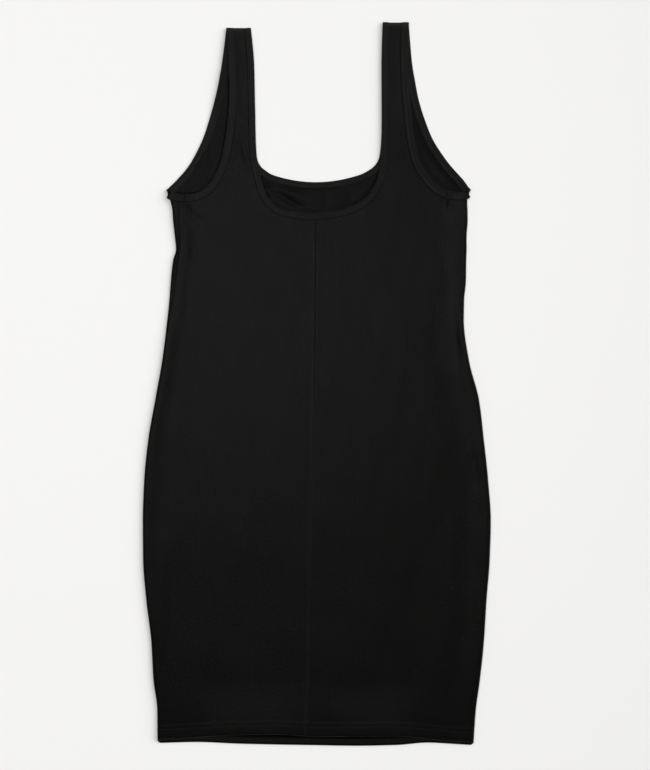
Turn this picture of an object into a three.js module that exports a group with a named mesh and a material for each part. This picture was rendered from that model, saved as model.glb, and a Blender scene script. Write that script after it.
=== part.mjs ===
// A sleeveless bodycon mini dress in black jersey, laid flat on its back and seen from above.
// X runs across the dress, Y from the hem to the straps and Z up from the table, in millimetres.
import * as THREE from "three";

// Cloth and sewing sizes
const CLOTH = 1.2;
const HEM_WALL = 2.2;
const HEM_DEPTH = 20;
const HEM_STEP = 4;
const SEAM_GAP = 0.3;
const BINDING_WALL = 2.2;
const BINDING_EASE = 0.6;
const NECK_BINDING = 8;
const ARM_BINDING = 9.4;

// Heights of the front's outer face above the table, by stretch of the dress
const BODY_LEVEL = 3.1;
const STRAP_LEVEL = 4;
const HEM_LEVEL = 4.8;
const FOLD_LEVEL = 6;
const FOLD_REACH = 3;
const FOLD_SPREAD = 15;
const LOWEST_DIP = 0.2;

// Slack of the cloth below the binding where both go round the underarm
const UNDERARM_EASE = 0.5;

// Where one level runs over into the next, up the dress
const STRAP_RUN = { from: 215, to: 250 };
const HEM_RUN = { from: -385, to: -420 };
const FOLD_END = { from: 250, to: 290 };
const HEM_LIFT_RUN = 70;

// Fold line of each strap over the shoulder
const STRAP_FOLD = { left: 446.1, right: 454.3 };

// Centre front seam, which leans a little to the left as it goes down
const CENTRE = { top: 208, length: 650, start: -0.3, lean: -11.2, power: 1.6 };

// Side seams, which lie on the front, in from the folds: across at the armhole, and place at the hem
const SIDE_SEAMS = {
  left: { armholeX: -163, hemX: -125, hemY: -443 },
  right: { armholeX: 168, hemX: 120, hemY: -444 },
};

// Side folds, from the hem up to the underarm
const SIDES = [
  { y: -452, left: -200.6, right: 197.6 },
  { y: -410, left: -201, right: 200.6 },
  { y: -372, left: -205.8, right: 205.7 },
  { y: -322, left: -208.7, right: 210.9 },
  { y: -271, left: -214.9, right: 214.1 },
  { y: -221, left: -218.8, right: 218 },
  { y: -171, left: -219.2, right: 219.4 },
  { y: -120, left: -217.4, right: 216 },
  { y: -70, left: -212.4, right: 210.7 },
  { y: -20, left: -203.7, right: 204.7 },
  { y: 31, left: -194.7, right: 191.8 },
  { y: 81, left: -188.4, right: 185.4 },
  { y: 107, left: -185.7, right: 185.9 },
  { y: 132, left: -183.8, right: 188.2 },
  { y: 157, left: -181, right: 188.5 },
  { y: 170, left: -177.3, right: 189 },
  { y: 184, left: -178.6, right: 188.9 },
  { y: 207, left: -181.1, right: 190.3 },
  { y: 222, left: -182.3, right: 190 },
  { y: 232, left: -184.8, right: 189.6 },
  { y: 245, left: -187.6, right: 192 },
];

// Hem edges of the front and the back, and how far the front's edge stands off the back
const HEM = [
  { x: -202, front: -447, back: -452, lift: 0 },
  { x: -150, front: -444, back: -450.8, lift: 1.2 },
  { x: -100, front: -441, back: -452.8, lift: 2.6 },
  { x: -50, front: -440.4, back: -454, lift: 3.2 },
  { x: 0, front: -443.3, back: -454.8, lift: 1.2 },
  { x: 50, front: -442.8, back: -455.5, lift: 2.4 },
  { x: 100, front: -442.4, back: -454.6, lift: 2.8 },
  { x: 140, front: -446.2, back: -451.5, lift: 1 },
  { x: 170, front: -449, back: -453, lift: 0.4 },
  { x: 200, front: -450.4, back: -454.8, lift: 0 },
];

// Largest soft folds of the front: each runs from one place to the other, bowed sideways
const FOLDS = [
  { x0: -100, y0: 338, x1: -88, y1: 272, bow: 2, rise: -0.9, width: 6 },
  { x0: -100, y0: 334, x1: -110, y1: 272, bow: -2, rise: -0.7, width: 6 },
  { x0: -172, y0: 225, x1: -140, y1: 196, bow: 0, rise: 1.2, width: 7 },
  { x0: 172, y0: 231, x1: 170, y1: 198, bow: 0, rise: 1.3, width: 7 },
  { x0: 176, y0: 120, x1: 196, y1: 20, bow: 3, rise: 1.6, width: 8 },
  { x0: 170, y0: 140, x1: 178, y1: 15, bow: 2, rise: -1.2, width: 8 },
  { x0: -196, y0: -190, x1: -198, y1: -370, bow: -2, rise: 1.3, width: 8 },
  { x0: -183, y0: -205, x1: -190, y1: -360, bow: -2, rise: -1, width: 8 },
  { x0: 196, y0: -85, x1: 203, y1: -135, bow: 0, rise: -0.9, width: 7 },
];

// Share of a fold's length by which it starts before its place, and by which it stands in full
const FOLD_FADE = { past: 0.1, full: 0.3 };

// Finished edges of the neckline, from the right strap to the left one on the front
const FRONT_NECK = [
  [83, STRAP_FOLD.right], [81.6, 409], [81.8, 333], [81.2, 290], [78.6, 268], [71, 247.5], [57, 231.3],
  [35.7, 221.8], [8, 216.8], [-18.5, 216.4], [-46, 222.2], [-61.5, 236.5], [-69.2, 257],
  [-74.4, 279], [-76.6, 305], [-77.8, 358], [-79.1, 409], [-82.8, STRAP_FOLD.left],
];
// And from the left strap to the right one on the back
const BACK_NECK = [
  [-82.8, STRAP_FOLD.left], [-79.1, 409], [-77.8, 358], [-76.8, 310], [-75.4, 287], [-71.4, 276.4],
  [-64.6, 270], [-54.3, 264], [-28.9, 257.6], [-0.8, 255.2], [26.9, 257.6], [53, 264],
  [66, 270.3], [73.8, 276.8], [78.6, 286], [81, 305], [81.8, 333], [81.6, 409], [83, STRAP_FOLD.right],
];

// Finished edges of the armholes, each from the strap fold down to the underarm
const ARMHOLES = {
  left: {
    front: [
      [-114.2, STRAP_FOLD.left], [-111.7, 404], [-110.2, 368], [-112, 337], [-115.5, 308], [-120.5, 284],
      [-128.6, 263.5], [-138.2, 250], [-150.5, 242.2], [-165.9, 240], [-176.5, 241.1], [-183.4, 243],
    ],
    back: [
      [-114.2, STRAP_FOLD.left], [-119, 409], [-123.2, 383.7], [-128.6, 358.5], [-135.6, 333.3],
      [-144.2, 308], [-156.7, 283], [-166, 269.5], [-176.4, 257.8], [-187.2, 247.2],
    ],
  },
  right: {
    front: [
      [116.2, STRAP_FOLD.right], [115.2, 414], [116.4, 378], [119.2, 348], [122.2, 317], [128, 288],
      [137.8, 268], [150.6, 252], [164.2, 244.2], [176, 242], [182, 242.3], [187.8, 243.6],
    ],
    back: [
      [116.2, STRAP_FOLD.right], [119.9, 409], [123.8, 384], [128.8, 358.5], [136.6, 333.3],
      [147, 308], [162.6, 284], [173.8, 270.3], [184.6, 258.4], [192, 248],
    ],
  },
};

// Steps of the grids: rows up the dress, columns across each piece
const STEPS = {
  body: 24,
  chest: 5,
  frontStrap: 15,
  backYoke: 3,
  backStrap: 16,
  wrap: 4,
  fold: 5,
  frontAcross: 10,
  backHalf: 5,
};
// Heights of the top rows of the front and the back below the neckline, and the body's rough height
const CHEST_ROW = 180;
const YOKE_ROW = 222;
const BODY_HEIGHT = 660;
// Points along a smooth edge, share of the bends in its steps, and corners welded per millimetre
const DENSE = 400;
const BEND_SHARE = 0.5;
const WELD = 1000;

const { clamp, lerp, smoothstep } = THREE.MathUtils;
const turned = (v) => new THREE.Vector2(-v.y, v.x);
const steps = (count) => Array.from({ length: count + 1 }, (_, i) => i / count);
const mix = (a, b, t) => a.clone().lerp(b, t);

// One column of a table as a smooth function of its key, with no overshoot between the rows
function column(rows, key, name) {
  const slopes = rows.slice(1).map((row, i) => (row[name] - rows[i][name]) / (row[key] - rows[i][key]));
  const tangents = rows.map((_, i) => {
    const before = slopes[Math.max(i - 1, 0)];
    const after = slopes[Math.min(i, slopes.length - 1)];
    return before * after > 0 ? (2 * before * after) / (before + after) : 0;
  });
  return (value) => {
    let i = 0;
    while (i < rows.length - 2 && value > rows[i + 1][key]) i++;
    const span = rows[i + 1][key] - rows[i][key];
    const t = clamp((value - rows[i][key]) / span, 0, 1);
    const rise = t * t * (3 - 2 * t);
    const ends = tangents[i] * t * (1 - t) * (1 - t) - tangents[i + 1] * t * t * (1 - t);
    return lerp(rows[i][name], rows[i + 1][name], rise) + span * ends;
  };
}

const sideFold = { left: column(SIDES, "y", "left"), right: column(SIDES, "y", "right") };
const hemOf = { front: column(HEM, "x", "front"), back: column(HEM, "x", "back") };
const hemLift = column(HEM, "x", "lift");
const OUTWARD = { left: -1, right: 1 };

function centreX(y) {
  const down = clamp((CENTRE.top - y) / CENTRE.length, 0, 1);
  return CENTRE.start + CENTRE.lean * down ** CENTRE.power;
}

// Inner end of the side fold's bend at a height on the dress
const shoulderX = (side, y) => sideFold[side](y) - OUTWARD[side] * FOLD_REACH;

// A ramp from 0 to 1 between two heights on the dress, in either direction
const ramp = (run, y) =>
  run.from < run.to ? smoothstep(y, run.from, run.to) : 1 - smoothstep(y, run.to, run.from);

// Height of one fold at a place: a rounded ridge or trough that dies away at both ends
function foldRise(fold, x, y) {
  const along = new THREE.Vector2(fold.x1 - fold.x0, fold.y1 - fold.y0);
  const from = new THREE.Vector2(x - fold.x0, y - fold.y0);
  const t = from.dot(along) / along.lengthSq();
  const off = from.cross(along) / along.length() - fold.bow * 4 * t * (1 - t);
  const grown = (share) => smoothstep(share, -FOLD_FADE.past, FOLD_FADE.full);
  return fold.rise * grown(t) * grown(1 - t) * Math.exp(-((off / fold.width) ** 2));
}

// Height of the front's outer face: its level, the rise to the side folds, the hem's lift, the folds
function frontHeight(x, y) {
  const strap = (STRAP_LEVEL - BODY_LEVEL) * ramp(STRAP_RUN, y);
  const hem = (HEM_LEVEL - BODY_LEVEL) * ramp(HEM_RUN, y);
  const level = BODY_LEVEL + strap + hem;
  const puffs = ["left", "right"].map((side) => {
    const inside = Math.max(0, OUTWARD[side] * (shoulderX(side, y) - x));
    return Math.exp(-((inside / FOLD_SPREAD) ** 2));
  });
  const puff = (FOLD_LEVEL - level) * Math.max(...puffs) * (1 - ramp(FOLD_END, y));
  const above = (y - hemOf.front(x)) / HEM_LIFT_RUN;
  const lift = hemLift(x) * (1 - smoothstep(above, 0, 1));
  const folds = FOLDS.reduce((sum, fold) => sum + foldRise(fold, x, y), 0);
  return Math.max(level - LOWEST_DIP, level + puff + lift + folds);
}

// Places along an edge, closer together where it bends, each with the way it runs
function stations(points, count) {
  const runs = points.map((_, i) => {
    const next = points[Math.min(i + 1, points.length - 1)];
    return next.clone().sub(points[Math.max(i - 1, 0)]).normalize();
  });
  const length = [0];
  const bend = [0];
  for (let i = 1; i < points.length; i++) {
    length.push(length[i - 1] + points[i].distanceTo(points[i - 1]));
    bend.push(bend[i - 1] + Math.acos(clamp(runs[i].dot(runs[i - 1]), -1, 1)));
  }
  const share = points.map(
    (_, i) => (1 - BEND_SHARE) * (length[i] / length.at(-1)) + BEND_SHARE * (bend[i] / bend.at(-1)),
  );
  return steps(count).map((t) => {
    let i = 0;
    while (i < points.length - 2 && share[i + 1] < t) i++;
    const part = clamp((t - share[i]) / (share[i + 1] - share[i]), 0, 1);
    return { at: mix(points[i], points[i + 1], part), run: mix(runs[i], runs[i + 1], part).normalize() };
  });
}

// A smooth curve through a table of places, as a dense line
const smoothLine = (table) =>
  new THREE.SplineCurve(table.map(([x, y]) => new THREE.Vector2(x, y))).getSpacedPoints(DENSE);

// The two parts of a line on either side of the place where it last passes an x
function cutAtX(points, x) {
  let i = points.length - 2;
  while (i > 0 && (points[i].x - x) * (points[i + 1].x - x) > 0) i--;
  const cut = mix(points[i], points[i + 1], (x - points[i].x) / (points[i + 1].x - points[i].x));
  return [[...points.slice(0, i + 1), cut], [cut, ...points.slice(i + 1)]];
}

// Stations of a binding's stretch, with the way to the cloth, which lies on the other hand at the back
function stretch(points, count, face) {
  const hand = face === "front" ? 1 : -1;
  return stations(points, count).map((s) => ({ ...s, face, across: turned(s.run).multiplyScalar(hand) }));
}

// Edge of the cloth beside a binding of a width
const clothEdge = (station, width) =>
  station.at.clone().addScaledVector(station.across, width + SEAM_GAP);

// Neckline stretches in the order of the binding strip, in halves that meet at the centre
const [frontNeckRight, frontNeckLeft] = cutAtX(smoothLine(FRONT_NECK), CENTRE.start).map((half) =>
  stretch(half, STEPS.chest + STEPS.frontStrap, "front"),
);
const [backNeckLeft, backNeckRight] = cutAtX(smoothLine(BACK_NECK), CENTRE.start).map((half) =>
  stretch(half, STEPS.backStrap, "back"),
);

// Armhole stretches in the order of the binding strip, which starts and ends at the side seam
function armhole(side) {
  const [strapPart, underarmPart] = cutAtX(smoothLine(ARMHOLES[side].front), SIDE_SEAMS[side].armholeX);
  const rearPart = smoothLine(ARMHOLES[side].back).reverse();
  const order = (points) => (side === "left" ? points : [...points].reverse());
  return {
    underarm: stretch(order(underarmPart), STEPS.wrap, "front"),
    rear: stretch(order(rearPart), STEPS.backYoke + STEPS.backStrap - 1, "back"),
    strap: stretch(order(strapPart), STEPS.frontStrap, "front"),
  };
}
const armholes = { left: armhole("left"), right: armhole("right") };

// The same stretches as lists that start at the underarm, whichever way the strip runs
const upwards = (side, part) => {
  const list = armholes[side][part];
  const startsBelow = (side === "left") === (part !== "strap");
  return startsBelow ? list : [...list].reverse();
};

// Side seam as a straight line from the hem to the binding
const seamTop = {
  left: clothEdge(upwards("left", "strap")[0], ARM_BINDING),
  right: clothEdge(upwards("right", "strap")[0], ARM_BINDING),
};
function seamX(side, y) {
  const { hemX, hemY } = SIDE_SEAMS[side];
  return lerp(hemX, seamTop[side].x, (y - hemY) / (seamTop[side].y - hemY));
}

// A wall of cloth gathered from grids of places, each with an outer and an inner point
class Wall {
  index = new Map();
  outer = [];
  inner = [];
  quads = [];

  corner({ outer, inner }) {
    const key = outer.toArray().map((v) => Math.round(v * WELD)).join();
    if (!this.index.has(key)) {
      this.index.set(key, this.outer.length);
      this.outer.push(outer);
      this.inner.push(inner);
    }
    return this.index.get(key);
  }

  grid(rows) {
    const ids = rows.map((row) => row.map((place) => this.corner(place)));
    for (let i = 0; i + 1 < ids.length; i++)
      for (let j = 0; j + 1 < ids[i].length; j++)
        this.quads.push([ids[i][j], ids[i][j + 1], ids[i + 1][j + 1], ids[i + 1][j]]);
    return this;
  }

  geometry() {
    const shift = this.outer.length;
    const faces = [];
    const edges = new Set();
    const face = (a, b, c, d) => faces.push([a, b, c], [a, c, d]);
    for (const [a, b, c, d] of this.quads) {
      face(a, b, c, d);
      face(d + shift, c + shift, b + shift, a + shift);
      for (const [p, q] of [[a, b], [b, c], [c, d], [d, a]]) edges.add(p + "," + q);
    }
    for (const edge of edges) {
      const [p, q] = edge.split(",").map(Number);
      if (!edges.has(q + "," + p)) face(q, p, p + shift, q + shift);
    }
    return solid([...this.outer, ...this.inner], faces);
  }
}

// Geometry of a closed surface from its points and three-cornered faces
function solid(points, faces) {
  const proper = faces.filter(([a, b, c]) => a !== b && b !== c && c !== a);
  const geometry = new THREE.BufferGeometry().setFromPoints(points);
  geometry.setIndex(proper.flat());
  geometry.computeVertexNormals();
  return geometry;
}

// A place on the front's cloth: the outer point on top and the inner one straight below it
function frontPlace(at, wall) {
  const top = frontHeight(at.x, at.y);
  return { outer: new THREE.Vector3(at.x, at.y, top), inner: new THREE.Vector3(at.x, at.y, top - wall) };
}

// A place on the back's cloth where it lies on the table
const backPlace = (at, wall) => ({
  outer: new THREE.Vector3(at.x, at.y, 0),
  inner: new THREE.Vector3(at.x, at.y, wall),
});

// Shares of the way from the hem to the underarm at which the body has a row, and the wall there
const hemRows = [0, HEM_DEPTH / BODY_HEIGHT, (HEM_DEPTH + HEM_STEP) / BODY_HEIGHT];
const bodyRows = [...hemRows, ...steps(STEPS.body).slice(2)];
const wallAt = (share) => (share <= hemRows[1] ? HEM_WALL : CLOTH);

// Half of the front: rows ruled from the side seam and armhole to the centre seam and neckline
function frontPanel(side) {
  const out = OUTWARD[side];
  const neck = side === "left" ? frontNeckLeft : [...frontNeckRight].reverse();
  const neckEdge = neck.map((s) => clothEdge(s, NECK_BINDING));
  const armEdge = upwards(side, "strap").map((s) => clothEdge(s, ARM_BINDING));
  const inset = SEAM_GAP / 2;
  neckEdge[0].x = centreX(neckEdge[0].y) + out * inset;
  const seamPoint = (y) => new THREE.Vector2(seamX(side, y) - out * inset, y);
  const centrePoint = (y) => new THREE.Vector2(centreX(y) + out * inset, y);
  armEdge[0] = seamPoint(armEdge[0].y);
  for (const edge of [neckEdge, armEdge]) edge.at(-1).y = STRAP_FOLD[side] - SEAM_GAP;
  const across = steps(STEPS.frontAcross);
  const ruled = (outer, inner, wall, drop = () => 0) => {
    const row = across.map((t) => {
      const at = mix(outer, inner, t);
      at.y += drop(at.x, t);
      return frontPlace(at, wall);
    });
    return side === "left" ? row : row.reverse();
  };
  const hemOuter = seamPoint(hemOf.front(seamX(side, SIDE_SEAMS[side].hemY)));
  const hemInner = centrePoint(hemOf.front(centreX(SIDE_SEAMS[side].hemY)));
  const body = bodyRows.map((share) => {
    const outer = seamPoint(lerp(hemOuter.y, CHEST_ROW, share));
    const inner = centrePoint(lerp(hemInner.y, neckEdge[0].y, share));
    const curve = (x, t) => (1 - share) * (hemOf.front(x) - lerp(hemOuter.y, hemInner.y, t));
    return ruled(outer, inner, wallAt(share), curve);
  });
  const chest = steps(STEPS.chest).slice(1).map((t, i) => {
    const outer = i + 1 < STEPS.chest ? seamPoint(lerp(CHEST_ROW, armEdge[0].y, t)) : armEdge[0];
    return ruled(outer, neckEdge[i + 1], CLOTH);
  });
  const strap = armEdge.slice(1).map((outer, i) => ruled(outer, neckEdge[STEPS.chest + 1 + i], CLOTH));
  return new Wall().grid([...body, ...chest, ...strap]).geometry();
}

// Height of a line of places at an x, for a line that runs across the dress
function heightOn(points, x) {
  let i = 0;
  while (i < points.length - 2 && (points[i + 1].x - x) * (points[0].x - x) > 0) i++;
  const span = points[i + 1].x - points[i].x;
  return lerp(points[i].y, points[i + 1].y, (x - points[i].x) / span);
}

// Top of the back's cloth round the underarm: its line on the front, and its height where it meets
// the table
function underarmTop(side) {
  const under = upwards(side, "underarm").map((s) => clothEdge(s, ARM_BINDING));
  const rear = clothEdge(upwards(side, "rear")[0], ARM_BINDING);
  const bend = mix(under.at(-1), rear, 0.5);
  bend.x += OUTWARD[side] * FOLD_REACH;
  return { under, low: heightOn([bend, rear], shoulderX(side, rear.y)) - UNDERARM_EASE };
}
const underarms = { left: underarmTop("left"), right: underarmTop("right") };

// Part of the back that comes round a side fold to the side seam, as a function of height share
function sideColumns(side) {
  const out = OUTWARD[side];
  const { under, low } = underarms[side];
  const { hemX } = SIDE_SEAMS[side];
  const hemShoulder = shoulderX(side, hemOf.back(hemX));
  const topShoulder = shoulderX(side, under.at(-1).y);
  const wrap = steps(STEPS.wrap).map((t) => (share) => {
    const hemY = hemOf.front(lerp(hemX, hemShoulder, t));
    const topY = heightOn(under, lerp(seamTop[side].x, topShoulder, t)) - UNDERARM_EASE * t;
    const y = lerp(hemY, topY, share);
    const x = lerp(seamX(side, y) + (out * SEAM_GAP) / 2, shoulderX(side, y), t);
    return frontPlace(new THREE.Vector2(x, y), wallAt(share));
  });
  const frontTopY = heightOn(under, topShoulder) - UNDERARM_EASE;
  const bend = steps(STEPS.fold).slice(1, -1).map((t) => (share) => {
    const hemY = lerp(hemOf.front(hemShoulder), hemOf.back(hemShoulder), t);
    const y = lerp(hemY, lerp(frontTopY, low, t), share);
    const start = shoulderX(side, y);
    const half = frontHeight(start, y) / 2;
    const angle = t * Math.PI;
    const ring = (inward) =>
      new THREE.Vector3(
        start + out * (FOLD_REACH - inward) * Math.sin(angle),
        y,
        half + (half - inward) * Math.cos(angle),
      );
    return { outer: ring(0), inner: ring(wallAt(share)) };
  });
  return [...wrap, ...bend];
}

// Flat part of the back between the side folds, ruled in halves from each fold to the centre line
function flatColumns() {
  const half = steps(STEPS.backHalf);
  const columnFrom = (side, t) => (share) => {
    const foldHem = hemOf.back(OUTWARD[side] * HEM.at(-1).x);
    const centreHem = hemOf.back(CENTRE.start + CENTRE.lean);
    const foldY = lerp(foldHem, underarms[side].low, share);
    const centreY = lerp(centreHem, YOKE_ROW, share);
    const at = new THREE.Vector2(lerp(shoulderX(side, foldY), centreX(centreY), t), lerp(foldY, centreY, t));
    at.y += (1 - share) * (hemOf.back(at.x) - lerp(foldHem, centreHem, t));
    return backPlace(at, wallAt(share));
  };
  const right = half.map((t) => columnFrom("right", t));
  const left = half.slice(0, -1).map((t) => columnFrom("left", t)).reverse();
  return [...right, ...left];
}

// Yoke and strap of one side of the back, ruled from the armhole to the centre line and neckline
function backYoke(side) {
  const neck = side === "left" ? [...backNeckLeft].reverse() : backNeckRight;
  const neckEdge = neck.map((s) => clothEdge(s, NECK_BINDING));
  neckEdge[0].x = centreX(neckEdge[0].y);
  const corner = new THREE.Vector2(shoulderX(side, underarms[side].low), underarms[side].low);
  const armEdge = [corner, ...upwards(side, "rear").map((s) => clothEdge(s, ARM_BINDING))];
  for (const edge of [neckEdge, armEdge]) edge.at(-1).y = STRAP_FOLD[side];
  const centre = steps(STEPS.backYoke).slice(0, -1).map((t) => {
    const y = lerp(YOKE_ROW, neckEdge[0].y, t);
    return new THREE.Vector2(centreX(y), y);
  });
  const inner = [...centre, ...neckEdge];
  const order = (row) => (side === "left" ? row : row.reverse());
  const across = (outer, inside) => steps(STEPS.backHalf).map((t) => mix(inside, outer, t));
  const rows = armEdge.map((outer, i) => order(across(outer, inner[i]).map((at) => backPlace(at, CLOTH))));
  const last = across(armEdge.at(-1), inner.at(-1));
  const radius = STRAP_LEVEL / 2;
  const bend = steps(STEPS.fold).slice(1).map((t) => {
    const angle = t * Math.PI;
    const ring = (at, r) => new THREE.Vector3(at.x, at.y + r * Math.sin(angle), radius - r * Math.cos(angle));
    return order(last.map((at) => ({ outer: ring(at, radius), inner: ring(at, radius - CLOTH) })));
  });
  return [...rows, ...bend];
}

function backPanel() {
  const columns = [...sideColumns("right"), ...flatColumns(), ...sideColumns("left").reverse()];
  const body = bodyRows.map((share) => columns.map((place) => place(share)));
  return new Wall().grid(body).grid(backYoke("left")).grid(backYoke("right")).geometry();
}

// Middle of a binding at a station: raised off the cloth's inner face by half its thickness
function bindingPlace(station, width) {
  const at = station.at.clone().addScaledVector(station.across, width / 2);
  const half = BINDING_WALL / 2;
  const z = station.face === "front" ? frontHeight(at.x, at.y) - CLOTH + half : half;
  const across = new THREE.Vector3(station.across.x, station.across.y, 0);
  return { at: new THREE.Vector3(at.x, at.y, z), across };
}

// Half turn of a binding round a fold, between the places at its two ends
function bindingBend(from, to, outward) {
  const radius = Math.abs(from.at.z - to.at.z) / 2;
  return steps(STEPS.fold).slice(1, -1).map((t) => {
    const angle = t * Math.PI;
    const at = mix(from.at, to.at, t);
    at.z = (from.at.z + to.at.z) / 2 + ((from.at.z - to.at.z) / 2) * Math.cos(angle);
    at.addScaledVector(outward, radius * Math.sin(angle));
    return { at, across: mix(from.across, to.across, t).normalize() };
  });
}

// Section of a binding as corners of a flat bar with eased edges, counter-clockwise
function bindingSection(width) {
  const a = width / 2;
  const b = BINDING_WALL / 2;
  const ease = b * BINDING_EASE;
  return [
    [-a, -b + ease], [-a + ease, -b], [a - ease, -b], [a, -b + ease],
    [a, b - ease], [a - ease, b], [-a + ease, b], [-a, b - ease],
  ];
}

// A strip of binding: its section carried along its places and closed at both ends
function strip(places, width) {
  const section = bindingSection(width);
  const count = section.length;
  const points = places.flatMap(({ at, across }, k) => {
    const before = places[Math.max(k - 1, 0)].at;
    const along = places[Math.min(k + 1, places.length - 1)].at.clone().sub(before).normalize();
    const side = across.clone().addScaledVector(along, -across.dot(along)).normalize();
    const up = along.clone().cross(side);
    return section.map(([u, v]) => at.clone().addScaledVector(side, u).addScaledVector(up, v));
  });
  const faces = [];
  for (let k = 0; k + 1 < places.length; k++)
    for (let i = 0; i < count; i++) {
      const next = (i + 1) % count;
      const [a, b, c, d] = [k * count + i, k * count + next, (k + 1) * count + next, (k + 1) * count + i];
      faces.push([a, b, c], [a, c, d]);
    }
  const end = (places.length - 1) * count;
  for (let i = 1; i + 1 < count; i++) faces.push([0, i + 1, i], [end, end + i, end + i + 1]);
  return solid(points, faces);
}

// The way a strip swells out where it goes over the strap's fold
const PAST_STRAP = new THREE.Vector3(0, 1, 0);

// One strip of binding from its stretches and the folds between them, cut short to clear its own start
function bindingStrip(stretches, folds, width) {
  const parts = stretches.map((list) => list.map((s) => bindingPlace(s, width)));
  const places = parts.flatMap((part, i) => {
    const following = parts[(i + 1) % parts.length][0];
    if (folds[i] === "seam") return part;
    if (folds[i] === "joined") return part.slice(0, -1);
    return [...part, ...bindingBend(part.at(-1), following, folds[i])];
  });
  const start = places[1].at.clone().sub(places[0].at).normalize();
  places[0].at.addScaledVector(start, SEAM_GAP);
  return strip(places, width);
}

function neckBinding() {
  const stretches = [frontNeckRight, frontNeckLeft, backNeckLeft, backNeckRight];
  const folds = ["joined", PAST_STRAP, "joined", PAST_STRAP];
  return bindingStrip(stretches, folds, NECK_BINDING);
}

function armholeBinding(side) {
  const { underarm, rear, strap } = armholes[side];
  const outward = new THREE.Vector3(OUTWARD[side], 0, 0);
  const stretches = side === "left" ? [underarm, rear, strap] : [strap, rear, underarm];
  const folds = side === "left" ? [outward, PAST_STRAP, "seam"] : [PAST_STRAP, outward, "seam"];
  return bindingStrip(stretches, folds, ARM_BINDING);
}

// Black jersey of the panels, and the same cloth cut as narrow bindings
const jersey = { color: 0x1a1a1b, roughness: 0.92, metalness: 0 };
const binding = { color: 0x1e1e1f, roughness: 0.88, metalness: 0 };
const piece = (name, geometry, finish) => {
  const mesh = new THREE.Mesh(geometry, new THREE.MeshStandardMaterial(finish));
  mesh.name = name;
  return mesh;
};

const dress = new THREE.Group();
dress.add(
  piece("front_left_panel", frontPanel("left"), jersey),
  piece("front_right_panel", frontPanel("right"), jersey),
  piece("back_panel", backPanel(), jersey),
  piece("neck_binding", neckBinding(), binding),
  piece("left_armhole_binding", armholeBinding("left"), binding),
  piece("right_armhole_binding", armholeBinding("right"), binding),
);

export default dress;
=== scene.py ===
"""A sleeveless bodycon mini dress in black jersey, laid flat on its back, with its knit and its sewing.

The dress is cut in a left and a right front, which meet in a centre seam, and a back that comes round
both side folds to the side seams on the front. Narrow strips of the same jersey are folded over the
neckline and the armholes. X runs across the dress, Y from the hem to the straps and Z up from the table.
Lengths are millimetres here and become metres when a mesh, lamp or camera is placed.
"""

import math
from collections import namedtuple

import bpy
import numpy as np
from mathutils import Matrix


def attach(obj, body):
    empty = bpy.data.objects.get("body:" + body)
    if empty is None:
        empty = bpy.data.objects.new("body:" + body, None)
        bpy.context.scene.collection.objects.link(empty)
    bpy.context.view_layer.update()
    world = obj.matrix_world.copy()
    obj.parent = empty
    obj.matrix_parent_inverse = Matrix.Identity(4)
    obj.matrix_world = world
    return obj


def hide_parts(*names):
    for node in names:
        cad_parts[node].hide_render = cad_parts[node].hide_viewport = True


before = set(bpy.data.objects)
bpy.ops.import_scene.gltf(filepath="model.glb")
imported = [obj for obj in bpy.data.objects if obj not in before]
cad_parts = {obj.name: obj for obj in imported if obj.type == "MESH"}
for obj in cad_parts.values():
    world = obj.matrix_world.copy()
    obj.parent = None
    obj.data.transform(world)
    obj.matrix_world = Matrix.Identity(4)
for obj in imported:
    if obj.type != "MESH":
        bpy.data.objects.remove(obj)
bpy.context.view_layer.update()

MM = 0.001


def table(columns, rows):
    """Rows of numbers with named columns."""
    return np.array(rows, dtype=[(name, float) for name in columns.split()])


# Sides of the dress, and the heights at which its straps are folded
OUTWARD = {"left": -1, "right": 1}
STRAP_FOLD = {"left": 447.4, "right": 454.3}

# Cloth and sewing
JERSEY = 0.85
SEAM_GAP = 0.3
BINDING_THICK = 2.2
BINDING_CLOTH = 0.5
NECK_BINDING = 8
ARM_BINDING = 9.4
PANEL_WALL = 1.2
TUCK = 2.2
NECK_ROWS = (3, 6.3)
ARM_ROWS = (3.2, 7.4)
STITCH_PITCH = 3
STITCH_LENGTH = 2.3
THREAD = 0.42
THREAD_LIFT = 0.02
REAR_THREAD_LIFT = 0.15

# Turned-up hems, with places given by the way above their edge
HEM_THICK = 2.2
HEM_DEPTH = 20
HEM_ROWS = (12, 17.6)
HEM_STEP = 0.8
HEM_PAST = 4
TURNED_ROWS = [HEM_DEPTH, 17, 15.5, 14.5, 13.5, 12.5, 11.5, 10, 8, 6, 3]
TURNED_DIP = 0.5
TURNED_DIP_RUN = (1, 9)
TURNED_PUFF = 1.1
TURNED_PUFF_RUN = (10, 15)
HEM_BAND = 0.05
HEM_BAND_END = (HEM_ROWS[1], HEM_ROWS[1] + 3)
HEM_ROLL = 0.2
HEM_ROLL_RUN = (2, 20)
ROW_GROOVE = 0.05
ROW_GROOVE_WIDTH = 0.9
REAR_GROOVE = 0.3
PUCKER = 0.02
PUCKER_WIDTH = 2.2
PUCKER_WAVES = (4 * STITCH_PITCH, 31)
HEM_LINE_Y = -430
HEM_LINE_STEPS = 400

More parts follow.
